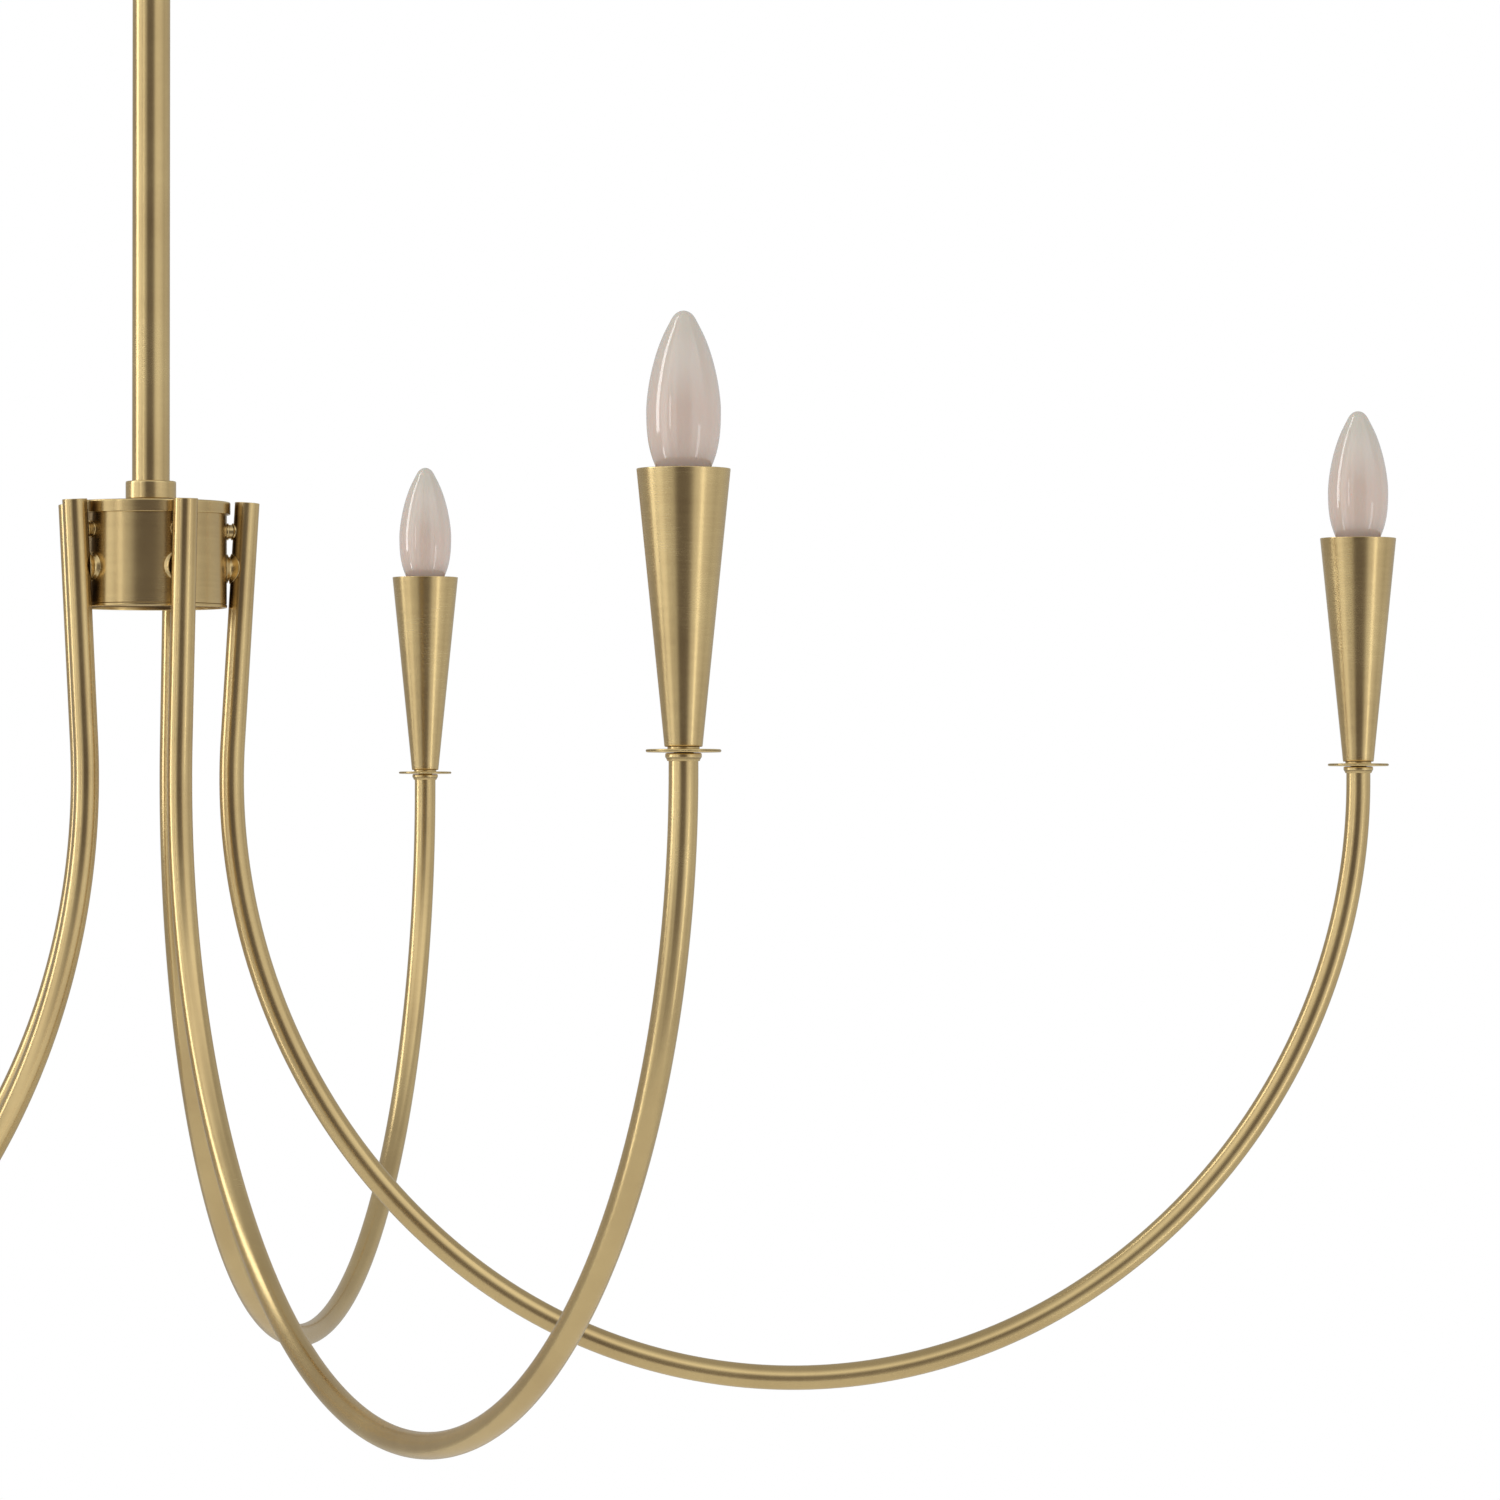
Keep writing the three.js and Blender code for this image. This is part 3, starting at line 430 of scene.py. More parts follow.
def hex_ring(flats, hole, low, high):
    """A hexagon nut: the outside is a circle cut by six flats, chamfered towards both faces."""
    reach = flats / 2 / math.cos(math.pi / 6)
    chamfer = reach - flats / 2
    corners = [
        (hole, low, 0),
        (reach - chamfer, low, 0),
        (reach, low + chamfer / 2, 0),
        (reach, high - chamfer / 2, 0),
        (reach - chamfer, high, 0),
        (hole, high, 0),
    ]
    sides = 72
    across = (columns(sides) % (TAU / 6)) - TAU / 12

    def flatten(radius, height, around):
        flat = flats / 2 / np.cos(across)[None]
        return np.where(radius > hole, np.minimum(radius, flat) - radius, 0.0)

    return lathe(corners, sides, closed=True, ripple=flatten)


def lock_nut(low, high):
    """The nut that holds a threaded pipe."""
    return Skin(*hex_ring(16 * MM, PIPE_RADIUS + 0.1 * MM, low, high))


# ------------------------------------------------------------------ shader maths


class Wire:
    """One output of a shader node. Arithmetic on wires and numbers adds Math nodes."""

    def __init__(self, graph, socket):
        self.graph = graph
        self.socket = socket

    def other(self, output):
        return Wire(self.graph, self.socket.node.outputs[output])

    def __add__(self, value):
        return self.graph.maths("ADD", self, value)

    def __sub__(self, value):
        return self.graph.maths("SUBTRACT", self, value)

    def __rsub__(self, value):
        return self.graph.maths("SUBTRACT", value, self)

    def __mul__(self, value):
        return self.graph.maths("MULTIPLY", self, value)

    def __truediv__(self, value):
        return self.graph.maths("DIVIDE", self, value)

    __radd__ = __add__
    __rmul__ = __mul__


class Graph:
    """A shader tree that is filled from empty."""

    def __init__(self, tree):
        self.tree = tree
        tree.nodes.clear()

    def add(self, kind, settings=None, values=None, output=0):
        """One node: its settings first, then the values or wires of its sockets."""
        node = self.tree.nodes.new(kind)
        for name, value in (settings or {}).items():
            if name == "stops":
                self.fill(node.color_ramp, value)
            else:
                setattr(node, name, value)
        for name, value in (values or {}).items():
            if isinstance(value, Wire):
                self.tree.links.new(value.socket, node.inputs[name])
            else:
                node.inputs[name].default_value = value
        return Wire(self, node.outputs[output]) if node.outputs else node

    @staticmethod
    def fill(ramp, stops):
        while len(ramp.elements) < len(stops):
            ramp.elements.new(1.0)
        for element, (position, value) in zip(ramp.elements, stops):
            element.position = position
            element.color = (value, value, value, 1.0)

    def maths(self, operation, *values, clamp=False):
        settings = {"operation": operation, "use_clamp": clamp}
        return self.add("ShaderNodeMath", settings, dict(enumerate(values)))

    def clamp(self, value):
        return self.maths("ADD", value, 0.0, clamp=True)

    def vector(self, x, y, z):
        return self.add("ShaderNodeCombineXYZ", values={0: x, 1: y, 2: z})

    def parts(self, vector):
        split = self.add("ShaderNodeSeparateXYZ", values={0: vector})
        return split, split.other(1), split.other(2)

    def noise(self, vector, detail, scale=1.0, roughness=0.5):
        values = {"Vector": vector, "Scale": scale, "Detail": detail, "Roughness": roughness}
        return self.add("ShaderNodeTexNoise", values=values)

    def blend(self, factor, first, second):
        """A mix of two colours."""
        values = {0: factor, 6: opaque(first), 7: opaque(second)}
        return self.add("ShaderNodeMix", {"data_type": "RGBA"}, values, output=2)

    def bump(self, height, depth, strength):
        return self.add("ShaderNodeBump", values={"Height": height, "Distance": depth, "Strength": strength})

    def surface(self, **values):
        """The shader and output of a material. Names are those of the Principled sockets."""
        named = {name.replace("_", " "): value for name, value in values.items()}
        shader = self.add("ShaderNodeBsdfPrincipled", values=named)
        self.add("ShaderNodeOutputMaterial", values={"Surface": shader})


def opaque(value):
    return value if isinstance(value, Wire) else (*value, 1.0)


def new_material(name):
    material = bpy.data.materials.new(name)
    material.use_nodes = True
    return material, Graph(material.node_tree)


def brushed_place(graph):
    """Where a point is on a turned or bent surface: along its profile, and a circle that goes once round."""
    along, turn, _ = graph.parts(graph.add("ShaderNodeUVMap", {"uv_map": SURFACE}))
    around = turn * TAU
    return along, graph.maths("COSINE", around), graph.maths("SINE", around)


def brush_lines(graph, place, per_metre, per_turn, detail, roughness=0.5):
    """Noise drawn out into lines round the axis: its scale along the profile, and on the circle round it."""
    along, round_x, round_y = place
    stretched = graph.vector(along * per_metre, round_x * per_turn, round_y * per_turn)
    return graph.noise(stretched, detail, roughness=roughness)


PATINA_AND_SHADE = (0.15, 0.105, 0.06)  # the dark patina left in corners that no buff reaches, which also serves as painted shade on the drum behind each arm and on the arm tubes' side that faces the drum


def brushed_brass(name, bright, patina, roughness, brushing):
    """Antique brass brushed round its axis: fine and broad brush lines, cloudy patina, rubbed edges, dark
    patina in inner corners, and painted shade where the drum and the arm tubes set the edge attribute below
    zero.
    """
    material, graph = new_material(name)
    place = brushed_place(graph)
    fine = brush_lines(graph, place, per_metre=1900, per_turn=2.5, detail=3, roughness=0.7)
    lines = brush_lines(graph, place, per_metre=340, per_turn=1.2, detail=3)
    here = graph.add("ShaderNodeTexCoord", output=3)
    clouds = graph.noise(here, scale=14, detail=4, roughness=0.6)
    edge = graph.add("ShaderNodeAttribute", {"attribute_name": EDGE_AND_SHADE}, output=2)
    tone = 0.6 + (clouds - 0.5) * 0.9 + (lines - 0.5) * brushing + (fine - 0.5) * brushing
    # negative edge values darken the colour: patina in inner corners, and painted shade on the drum behind
    # each arm and on the tubes' side that faces it
    tone = graph.clamp(tone + edge * 0.3)
    patina_and_shade = graph.clamp(0 - edge) * 0.75
    shine = roughness + (clouds - 0.5) * 0.12 + (fine - 0.5) * brushing * 0.3 - edge * 0.05
    graph.surface(
        Base_Color=graph.blend(patina_and_shade, graph.blend(tone, patina, bright), PATINA_AND_SHADE),
        Metallic=1.0,
        Roughness=graph.clamp(shine),
        Normal=graph.bump(fine, 0.01 * MM, 0.12),
    )
    return material


def rolled_brass(name):
    """Thin bright brass sheet, as on a bulb's base."""
    material, graph = new_material(name)
    scratches = brush_lines(graph, brushed_place(graph), per_metre=2600, per_turn=4, detail=2)
    clouds = graph.noise(graph.add("ShaderNodeTexCoord", output=3), scale=160, detail=3)
    tone = graph.clamp(0.5 + (clouds - 0.5) * 1.6 + (scratches - 0.5) * 0.6)
    graph.surface(
        Base_Color=graph.blend(tone, (0.58, 0.46, 0.24), (0.86, 0.74, 0.47)),
        Metallic=1.0,
        Roughness=graph.clamp(0.2 + clouds * 0.16 + scratches * 0.06),
        Normal=graph.bump(scratches, 0.02 * MM, 0.3),
    )
    return material


def zinc(name):
    """Zinc plate: blue-grey spangle with a yellowish passivation bloom."""
    material, graph = new_material(name)
    here = graph.add("ShaderNodeTexCoord", output=3)
    spangle = graph.add("ShaderNodeTexVoronoi", values={"Vector": here, "Scale": 260.0})
    bloom = graph.noise(here, scale=45, detail=4)
    tone = graph.clamp(spangle * 0.6 + bloom * 0.6)
    graph.surface(
        Base_Color=graph.blend(tone, (0.44, 0.46, 0.49), (0.66, 0.65, 0.60)),
        Metallic=1.0,
        Roughness=graph.clamp(0.3 + bloom * 0.25 + spangle * 0.1),
        Normal=graph.bump(spangle + bloom, 0.04 * MM, 0.25),
    )
    return material


def opal_glass(name):
    """Glossy milk glass: a faint rose white that turns greyer towards the tip, with soft clouds. A little
    light of its own stands for the light that milk glass carries round to its shaded side."""
    material, graph = new_material(name)
    here = graph.add("ShaderNodeTexCoord", output=3)
    clouds = graph.noise(here, scale=22, detail=3)
    haze = graph.noise(here, scale=300, detail=2)
    along = brushed_place(graph)[0]
    halfway = 45 * MM
    tip = graph.clamp((along - halfway) / halfway + (clouds - 0.5))
    rose, grey = (0.71, 0.58, 0.50), (0.66, 0.62, 0.545)
    milk = graph.blend(tip, rose, grey)
    graph.surface(
        Base_Color=milk,
        Roughness=graph.clamp(0.03 + haze * 0.04),
        Normal=graph.bump(clouds, 0.25 * MM, 0.1),
        Subsurface_Weight=0.6,
        Subsurface_Radius=(0.012, 0.008, 0.006),
        Subsurface_Scale=1.0,
        Emission_Color=milk,
        Emission_Strength=0.13,
        IOR=1.65,
        Coat_Weight=1.0,
        Coat_Roughness=0.02,
    )
    return material


def speckled(name, dark, light, roughness, scale, depth, metallic=0.0, glow=0.0):
    """A moulded or cast surface: two close colours in fine grains, with a matching bump. It may glow a
    little, as a floor does under its own lights."""
    material, graph = new_material(name)
    here = graph.add("ShaderNodeTexCoord", output=3)
    grain = graph.noise(here, scale=scale, detail=3, roughness=0.6)
    clouds = graph.noise(here, scale=scale / 12, detail=3)
    tone = graph.clamp(0.5 + (grain - 0.5) * 1.8 + (clouds - 0.5))
    graph.surface(
        Base_Color=graph.blend(tone, dark, light),
        Metallic=metallic,
        Roughness=graph.clamp(roughness + (grain - 0.5) * 0.25 + (clouds - 0.5) * 0.15),
        Normal=graph.bump(grain, depth, 0.3),
        Emission_Color=(1.0, 1.0, 1.0, 1.0),
        Emission_Strength=glow,
    )
    return material


# The moulded and cast finishes. Each has its slot in the frame, then its material's name, dark and light
# colours, roughness, scale and depth of grain, and how metallic it is.
SPECKLED = {
    "phenolic": (
        "socket_phenolic",
        ("phenolic_moulded", (0.012, 0.011, 0.010), (0.035, 0.031, 0.028), 0.42, 900, 0.03 * MM, 0.0),
    ),
    "insulator": (
        "socket_phenolic",
        ("vitrite_black", (0.006, 0.006, 0.010), (0.02, 0.018, 0.03), 0.16, 500, 0.02 * MM, 0.0),
    ),
    "solder": (
        "zinc_steel",
        ("solder_dull", (0.42, 0.42, 0.43), (0.68, 0.68, 0.67), 0.38, 1400, 0.08 * MM, 1.0),
    ),
    "sleeve": (
        "wire_sleeve",
        ("wire_sleeve_matt", (0.52, 0.48, 0.39), (0.70, 0.66, 0.55), 0.55, 700, 0.02 * MM, 0.0),
    ),
    "wire nut": (
        "wire_sleeve",
        ("wire_nut_moulded", (0.55, 0.20, 0.03), (0.75, 0.31, 0.06), 0.45, 800, 0.03 * MM, 0.0),
    ),
    "ground green": (
        "zinc_steel",
        ("ground_screw_green", (0.02, 0.16, 0.07), (0.05, 0.26, 0.12), 0.35, 900, 0.03 * MM, 0.6),
    ),
}

made_finishes = {}


def finishes():
    """Each finish's material and slot in the frame. The materials are made at the first call."""
    if not made_finishes:
        brass = bpy.context.scene.chandelier.brass
        look = (brass.bright[:], brass.patina[:], brass.roughness)
        brushed = brushed_brass("antique_brass_brushed", *look, brass.brushing)
        drawn = brushed_brass("antique_brass_drawn", *look, brass.brushing * 0.4)
        made_finishes["brass"] = (brushed, "antique_brass")
        made_finishes["drawn brass"] = (drawn, "antique_brass")
        made_finishes["bulb brass"] = (rolled_brass("bulb_brass_rolled"), "bulb_brass")
        made_finishes["zinc"] = (zinc("zinc_plate"), "zinc_steel")
        made_finishes["opal"] = (opal_glass("opal_glass_glossy"), "opal_glass")
        for finish, (slot, look) in SPECKLED.items():
            made_finishes[finish] = (speckled(*look), slot)
    return made_finishes


# ------------------------------------------------------------------ ceiling fixing


class CHANDELIER_OT_crossbar(bpy.types.Operator):
    """Give the crossbar its zinc finish, and add the screw of its ground wire"""

    bl_idname = "chandelier.crossbar"
    bl_label = "Crossbar"

    def execute(self, context):
        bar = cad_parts["crossbar"]
        material, slot = finishes()["zinc"]
        bar.data.materials.clear()
        bar.data.materials.append(material)
        place = Place("crossbar")
        head, rise, shank = 3.4 * MM, 1.6 * MM, 1.7 * MM
        foot, tip = place.low, place.high - 0.2 * MM
        corners = [
            (0, foot - rise, 0),
            (head, foot - rise, 0.8 * MM),
            (head, foot, 0.15 * MM),
            (shank, foot, 0),
            (shank, tip, 0.3 * MM),
            (0, tip, 0),
        ]
        grid, edge = lathe(corners, 40)
        piece("ground_screw", Skin(moved(grid, x=17 * MM), edge), "ground green", "ceiling_mount")
        return {"FINISHED"}


class CHANDELIER_OT_canopy(bpy.types.Operator):
    """Make the canopy: a thin spun dish whose corner rolls into its floor, and the nut that holds it"""

    bl_idname = "chandelier.canopy"
    bl_label = "Canopy"

    def execute(self, context):
        place = Place("canopy")
        wall, roll, lip = 1.2 * MM, 5 * MM, 0.35 * MM
        outer = place.radius
        floor = place.low + wall
        corners = [
            (PIPE_HOLE, place.low, 0.2 * MM),
            (outer, place.low, roll),
            (outer, place.high, lip),
            (outer - wall, place.high, lip),
            (outer - wall, floor, roll - wall),
            (PIPE_HOLE, floor, 0.2 * MM),
        ]
        shell = Skin(*lathe(corners, 160, closed=True, steps=8))
        piece("canopy_shell", shell, "brass", "ceiling_mount", "canopy")
        piece("canopy_lock_nut", lock_nut(floor + BED, floor + 3.4 * MM), "zinc", "ceiling_mount")
        return {"FINISHED"}


class CHANDELIER_OT_canopy_screws(bpy.types.Operator):
    """Make the two canopy screws: ball heads with a diamond knurl, a ripple of two crossed waves"""

    bl_idname = "chandelier.canopy_screws"
    bl_label = "Canopy Screws"

    def execute(self, context):
        place, under = Place("canopy_screw_left"), Place("canopy").low
        head, neck, shank = 4.5 * MM, 3.4 * MM, 2.1 * MM
        corners = [
            (0, place.low, 0),
            (2.2 * MM, place.low, 0.4 * MM),
            (head, place.low + 2.2 * MM, 1.2 * MM),
            (head, under - 1.8 * MM, 0.5 * MM),
            (neck, under - 0.9 * MM, 0.2 * MM),
            (neck, under, 0.15 * MM),
            (shank, under, 0),
            (shank, place.high, 0.4 * MM),
            (0, place.high, 0),
        ]
        knurl_foot, knurl_top = place.low + 2.6 * MM, under - 2.2 * MM
        ridges, pitch, depth = 14, 1.1 * MM, 0.16 * MM

        def knurl(radius, height, around):
            inside = (height > knurl_foot) & (height < knurl_top)
            climb = height / pitch * math.pi
            crossed = np.sin(ridges * around + climb) * np.sin(ridges * around - climb)
            return inside * depth * (crossed - 1)

        screw = lathe(corners, 168, spacing=0.2 * MM, ripple=knurl)
        for side in ("left", "right"):
            node = f"canopy_screw_{side}"
            piece(f"knurled_screw_{side}", stood(screw, node), "brass", "ceiling_mount", node)
        return {"FINISHED"}


# ------------------------------------------------------------------ swivel


class CHANDELIER_OT_swivel_housing(bpy.types.Operator):
    """Make the swivel's housing: a turned barrel with two fine grooves, on its pipe"""

    bl_idname = "chandelier.swivel_housing"
    bl_label = "Swivel Housing"

    def execute(self, context):
        place = Place("swivel_housing")
        under = Place("canopy").low - GAP
        outer, mouth, room, roof = place.radius, 6.35 * MM, 8.85 * MM, 3 * MM
        groove, depth = 0.35 * MM, 0.4 * MM
        foot = place.low
        grooves = []
        for height in (foot + 4 * MM, foot + 10 * MM):
            grooves += [
                (outer, height - groove, 0.1 * MM),
                (outer - depth, height, 0.1 * MM),
                (outer, height + groove, 0.1 * MM),
            ]
        corners = [
            (mouth, foot, 0.3 * MM),
            (outer, foot, 1 * MM),
            *grooves,
            (outer, under, 1 * MM),
            (PIPE_RADIUS, under, 0),
            (PIPE_RADIUS, place.high, 0.4 * MM),
            (PIPE_BORE, place.high, 0.2 * MM),
            (PIPE_BORE, under - roof, 0),
            (room, under - roof, 0),
            (room, foot + roof, 0),
            (mouth, foot + roof, 0),
        ]
        barrel = Skin(*lathe(corners, 96, closed=True))
        piece("swivel_barrel", barrel, "brass", "ceiling_mount", "swivel_housing")
        return {"FINISHED"}


class CHANDELIER_OT_swivel_knuckle(bpy.types.Operator):
    """Make the swivel's knuckle: a turned head and body with two rounded fork cheeks"""

    bl_idname = "chandelier.swivel_knuckle"
    bl_label = "Swivel Knuckle"

    def execute(self, context):
        place = Place("swivel_knuckle")
        housing = Place("swivel_housing")
        outer, neck, head = 12 * MM, 6 * MM, 8.5 * MM
        top = housing.low - GAP
        slot_top = top - 6 * MM
        head_foot = housing.low + 3.35 * MM
        corners = [
            (PIPE_BORE, slot_top, 0),
            (outer, slot_top, 0.2 * MM),
            (outer, top, 1 * MM),
            (neck, top, 0.3 * MM),
            (neck, head_foot, 0),
            (head, head_foot, 0.3 * MM),
            (head, place.high, 0.4 * MM),
            (PIPE_BORE, place.high, 0),
        ]
        skin = Skin(*lathe(corners, 96, closed=True))
        slot_half, rooted = 4.35 * MM, 0.5 * MM
        for side in (-1, 1):
            skin.add(self.cheek(outer, slot_half, slot_top + rooted, side))
        piece("swivel_fork", skin, "brass", "swivel", "swivel_knuckle")
        return {"FINISHED"}

    @staticmethod
    def cheek(outer, inner, top, side):
        """One cheek: at each depth from the slot outwards its outline is a U about the pivot, no wider than
        the round body there. The outline shrinks to the middle on the slot's face and closes in a line
        where the body ends."""
        leg, layers = 8, 17
        turn = np.linspace(-math.pi, 0, 41)
        rise = np.linspace(top - PIVOT, 0, leg + 1)[:-1]
        across = np.concatenate([np.full(leg, -outer), outer * np.cos(turn), np.full(leg, outer), [-outer]])
        down = np.concatenate([rise, outer * np.sin(turn), rise[::-1], [top - PIVOT]])
        bulge = np.sin(np.linspace(0, math.pi / 2, layers))
        depth = np.concatenate([np.full(2, inner), inner + (outer - inner) * bulge])
        size = np.concatenate([[0.0], np.ones(layers + 1)])
        soft = np.concatenate([[1.0, 0.97], np.ones(layers)])
        half = np.sqrt(np.maximum(outer**2 - depth**2, 0)) * soft
        x = np.clip(across[None] * size[:, None], -half[:, None], half[:, None])
        z = PIVOT + down[None] * np.where(size == 0, 0, soft)[:, None]
        z = np.where(size[:, None] == 0, (top + PIVOT - outer) / 2, z)
        y = np.broadcast_to(side * depth[:, None], x.shape)
        return np.stack([x, y, z], -1)


class CHANDELIER_OT_swivel_pin(bpy.types.Operator):
    """Make the swivel's pin: a turned pin with a domed head at each end, along the Y axis"""

    bl_idname = "chandelier.swivel_pin"
    bl_label = "Swivel Pin"

    def execute(self, context):
        low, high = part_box("swivel_pin")
        head, shank, height = 4 * MM, 2.5 * MM, 1.4 * MM
        corners = [
            (0, low.y, 0),
            (head, low.y, 1.1 * MM),
            (head, low.y + height, 0.15 * MM),
            (shank, low.y + height, 0),
        ]
        grid, edge = lathe(mirrored(corners, (low.y + high.y) / 2), 48)
        points = grid[..., [0, 2, 1]] + np.array([0, 0, PIVOT])
        piece("fork_pin", Skin(points, edge), "brass", "swivel", "swivel_pin")
        return {"FINISHED"}


class CHANDELIER_OT_swivel_tongue(bpy.types.Operator):
    """Make the swivel's tongue: a round-topped blade with a window for the lead, on a round flange"""

    bl_idname = "chandelier.swivel_tongue"
    bl_label = "Swivel Tongue"

    def execute(self, context):
        rod = Place("upper_rod")
        place = Place("swivel_tongue")
        flange_foot = rod.high + GAP
        flange_top = flange_foot + 6 * MM
        spigot = rod.radius - 1.8 * MM
        corners = [
            (PIPE_BORE, place.low, 0),
            (spigot, place.low, 0.5 * MM),
            (spigot, flange_foot, 0),
            (rod.radius, flange_foot, 0.4 * MM),
            (rod.radius, flange_top, 0.9 * MM),
            (PIPE_BORE, flange_top, 0.3 * MM),
        ]
        skin = Skin(*lathe(corners, 96, closed=True))
        half, thick, window, eye = 8 * MM, 4 * MM, 3.4 * MM, 5.5 * MM
        skin.add(*self.blade(half, thick, flange_top - 0.5 * MM, window, PIVOT - eye))
        piece("fork_tongue", skin, "brass", "hanging_frame", "swivel_tongue")
        return {"FINISHED"}

    @staticmethod
    def blade(half, thick, foot, window, window_top):
        """A flat blade between two outlines: a round-topped outer one and the window. The rows go from the
        window over the front face, round the softened edge and back behind, to the window again."""
        top = PIVOT + half

        def loop(width, low, high, fillet):
            foot_fillet = 0.3 * MM
            feet = [(-width, low, foot_fillet), (width, low, foot_fillet)]
            tops = [(width, high, fillet), (-width, high, fillet)]
            return outline(feet + tops, closed=True, steps=16)[0]

        soft = 0.5 * MM
        full = loop(half, foot, top, half * 0.999)
        inset = loop(half - soft, foot, top - soft, half * 0.999 - soft)
        hole = loop(window, foot + 0.2 * MM, window_top, 0.8 * MM)
        rows = [
            (hole, thick - soft),
            (hole, thick),
            (inset, thick),
            (full, thick - soft),
            (full, soft - thick),
            (inset, -thick),
            (hole, -thick),
            (hole, thick - soft),
        ]
        grid = np.stack([np.insert(ring, 1, y, axis=1) for ring, y in rows])
        return grid, np.array([0, 0, 0.5, 0.5, 0.5, 0.5, 0, 0])


# ------------------------------------------------------------------ downrod


class CHANDELIER_OT_rods(bpy.types.Operator):
    """Make the two rods: long turned tubes with softly broken ends"""

    bl_idname = "chandelier.rods"
    bl_label = "Rods"

    def execute(self, context):
        for node, name in (("upper_rod", "rod_upper"), ("lower_rod", "rod_lower")):
            place = Place(node)
            corners = [(place.radius - SHEET, place.low, 0.2 * MM), (place.radius, place.low, 0.4 * MM)]
            skin = Skin(*lathe(mirrored(corners, place.middle), 96, closed=True, spacing=20 * MM))
            piece(name, skin, "drawn brass", "hanging_frame", node)
        return {"FINISHED"}


class CHANDELIER_OT_rod_coupler(bpy.types.Operator):
    """Make the coupler: a turned ring with a step at each end, on its spigots"""

    bl_idname = "chandelier.rod_coupler"
    bl_label = "Rod Coupler"

    def execute(self, context):
        place = Place("rod_coupler")
        foot = Place("lower_rod").high + GAP
        spigot, bore, outer = 8.85 * MM, 4.5 * MM, place.radius
        step = outer - 0.9 * MM
        corners = [
            (bore, place.low, 0),
            (spigot, place.low, 0.5 * MM),
            (spigot, foot, 0),
            (step, foot, 0.5 * MM),
            (step, foot + 1.8 * MM, 0.2 * MM),
            (outer, foot + 2.2 * MM, 0.6 * MM),
        ]
        ring = Skin(*lathe(mirrored(corners, place.middle), 96, closed=True))
        piece("rod_joint_ring", ring, "brass", "hanging_frame", "rod_coupler")
        return {"FINISHED"}


# ------------------------------------------------------------------ hub


class CHANDELIER_OT_hub_collar(bpy.types.Operator):
    """Make the collar on the lid: a turned ring round the rod's foot, and its pipe and nut in the drum"""

    bl_idname = "chandelier.hub_collar"
    bl_label = "Hub Collar"

    def execute(self, context):
        place = Place("hub_collar")
        foot = LID_TOP
        outer, socket = place.radius, Place("lower_rod").radius + 0.1 * MM
        seat = Place("lower_rod").low - GAP
        corners = [
            (PIPE_BORE, place.low, 0),
            (PIPE_RADIUS, place.low, 0.4 * MM),
            (PIPE_RADIUS, foot, 0),
            (outer - 0.3 * MM, foot, 0.4 * MM),
            (outer - 0.3 * MM, foot + 1.5 * MM, 0.2 * MM),
            (outer - 0.6 * MM, foot + 1.8 * MM, 0.15 * MM),
            (outer, foot + 2.1 * MM, 0.2 * MM),
            (outer, place.high, 0.8 * MM),
            (socket, place.high, 0.3 * MM),
            (socket, seat, 0),
            (PIPE_BORE, seat, 0),
        ]
        ring = Skin(*lathe(corners, 112, closed=True))
        piece("collar_ring", ring, "brass", "hanging_frame", "hub_collar")
        under = LID_TOP - SHEET
        piece("hub_lock_nut", lock_nut(under - 3.5 * MM, under - BED), "zinc", "hanging_frame")
        return {"FINISHED"}


class CHANDELIER_OT_hub_lid(bpy.types.Operator):
    """Make the lid: a flat pressed lid whose skirt stands just outside the drum"""

    bl_idname = "chandelier.hub_lid"
    bl_label = "Hub Lid"

    def execute(self, context):
        place = Place("hub_lid")
        outer, inner = place.radius, place.radius - SHEET
        corners = [
            (inner, place.low, 0.3 * MM),
            (outer, place.low, 0.35 * MM),
            (outer, place.high, 0.7 * MM),
            (PIPE_HOLE, place.high, 0.2 * MM),
            (PIPE_HOLE, place.high - SHEET, 0),
            (inner, place.high - SHEET, 0.4 * MM),
        ]
        piece("lid_pressed", Skin(*lathe(corners, 192, closed=True)), "brass", "hanging_frame", "hub_lid")
        return {"FINISHED"}


class CHANDELIER_OT_hub_drum(bpy.types.Operator):
    """Make the drum: a spun cup with a fine groove above its thin rolled foot, its floor set in a
    little, with painted shade behind each arm"""

    bl_idname = "chandelier.hub_drum"
    bl_label = "Hub Drum"

    def execute(self, context):
        outer, inner = DRUM.radius, DRUM.radius - SHEET
        foot = DRUM.low
        floor_under = foot + 2.4 * MM
        floor_top = floor_under + 1.8 * MM
        rolled, groove = outer + 0.15 * MM, foot + 1.9 * MM
        corners = [
            (0, floor_under, 0),
            (inner, floor_under, 0.5 * MM),
            (inner, foot, 0.4 * MM),
            (rolled, foot, 0.7 * MM),
            (rolled, groove - 0.25 * MM, 0.15 * MM),
            (outer - 0.45 * MM, groove, 0.12 * MM),
            (outer, groove + 0.3 * MM, 0.12 * MM),
            (outer, DRUM.high, 0.3 * MM),
            (inner, DRUM.high, 0.3 * MM),
            (inner, floor_top, 0.8 * MM),
            (0, floor_top, 0),
        ]
        sides = 240
        grid, edge = lathe(corners, sides)
        # painted shade: the drum's brass is darkened behind each arm, by lowering its edge values there
        bearings = np.array([arm_bearing(number) for number in ARMS])
        off = np.abs((columns(sides)[None] - bearings[:, None] + math.pi) % TAU - math.pi).min(0)
        behind = np.clip(1.3 - off / 0.2, 0, 1)
        piece("drum_spun", Skin(grid, edge[:, None] - behind), "brass", "hanging_frame", "hub_drum")
        return {"FINISHED"}


# ------------------------------------------------------------------ arms


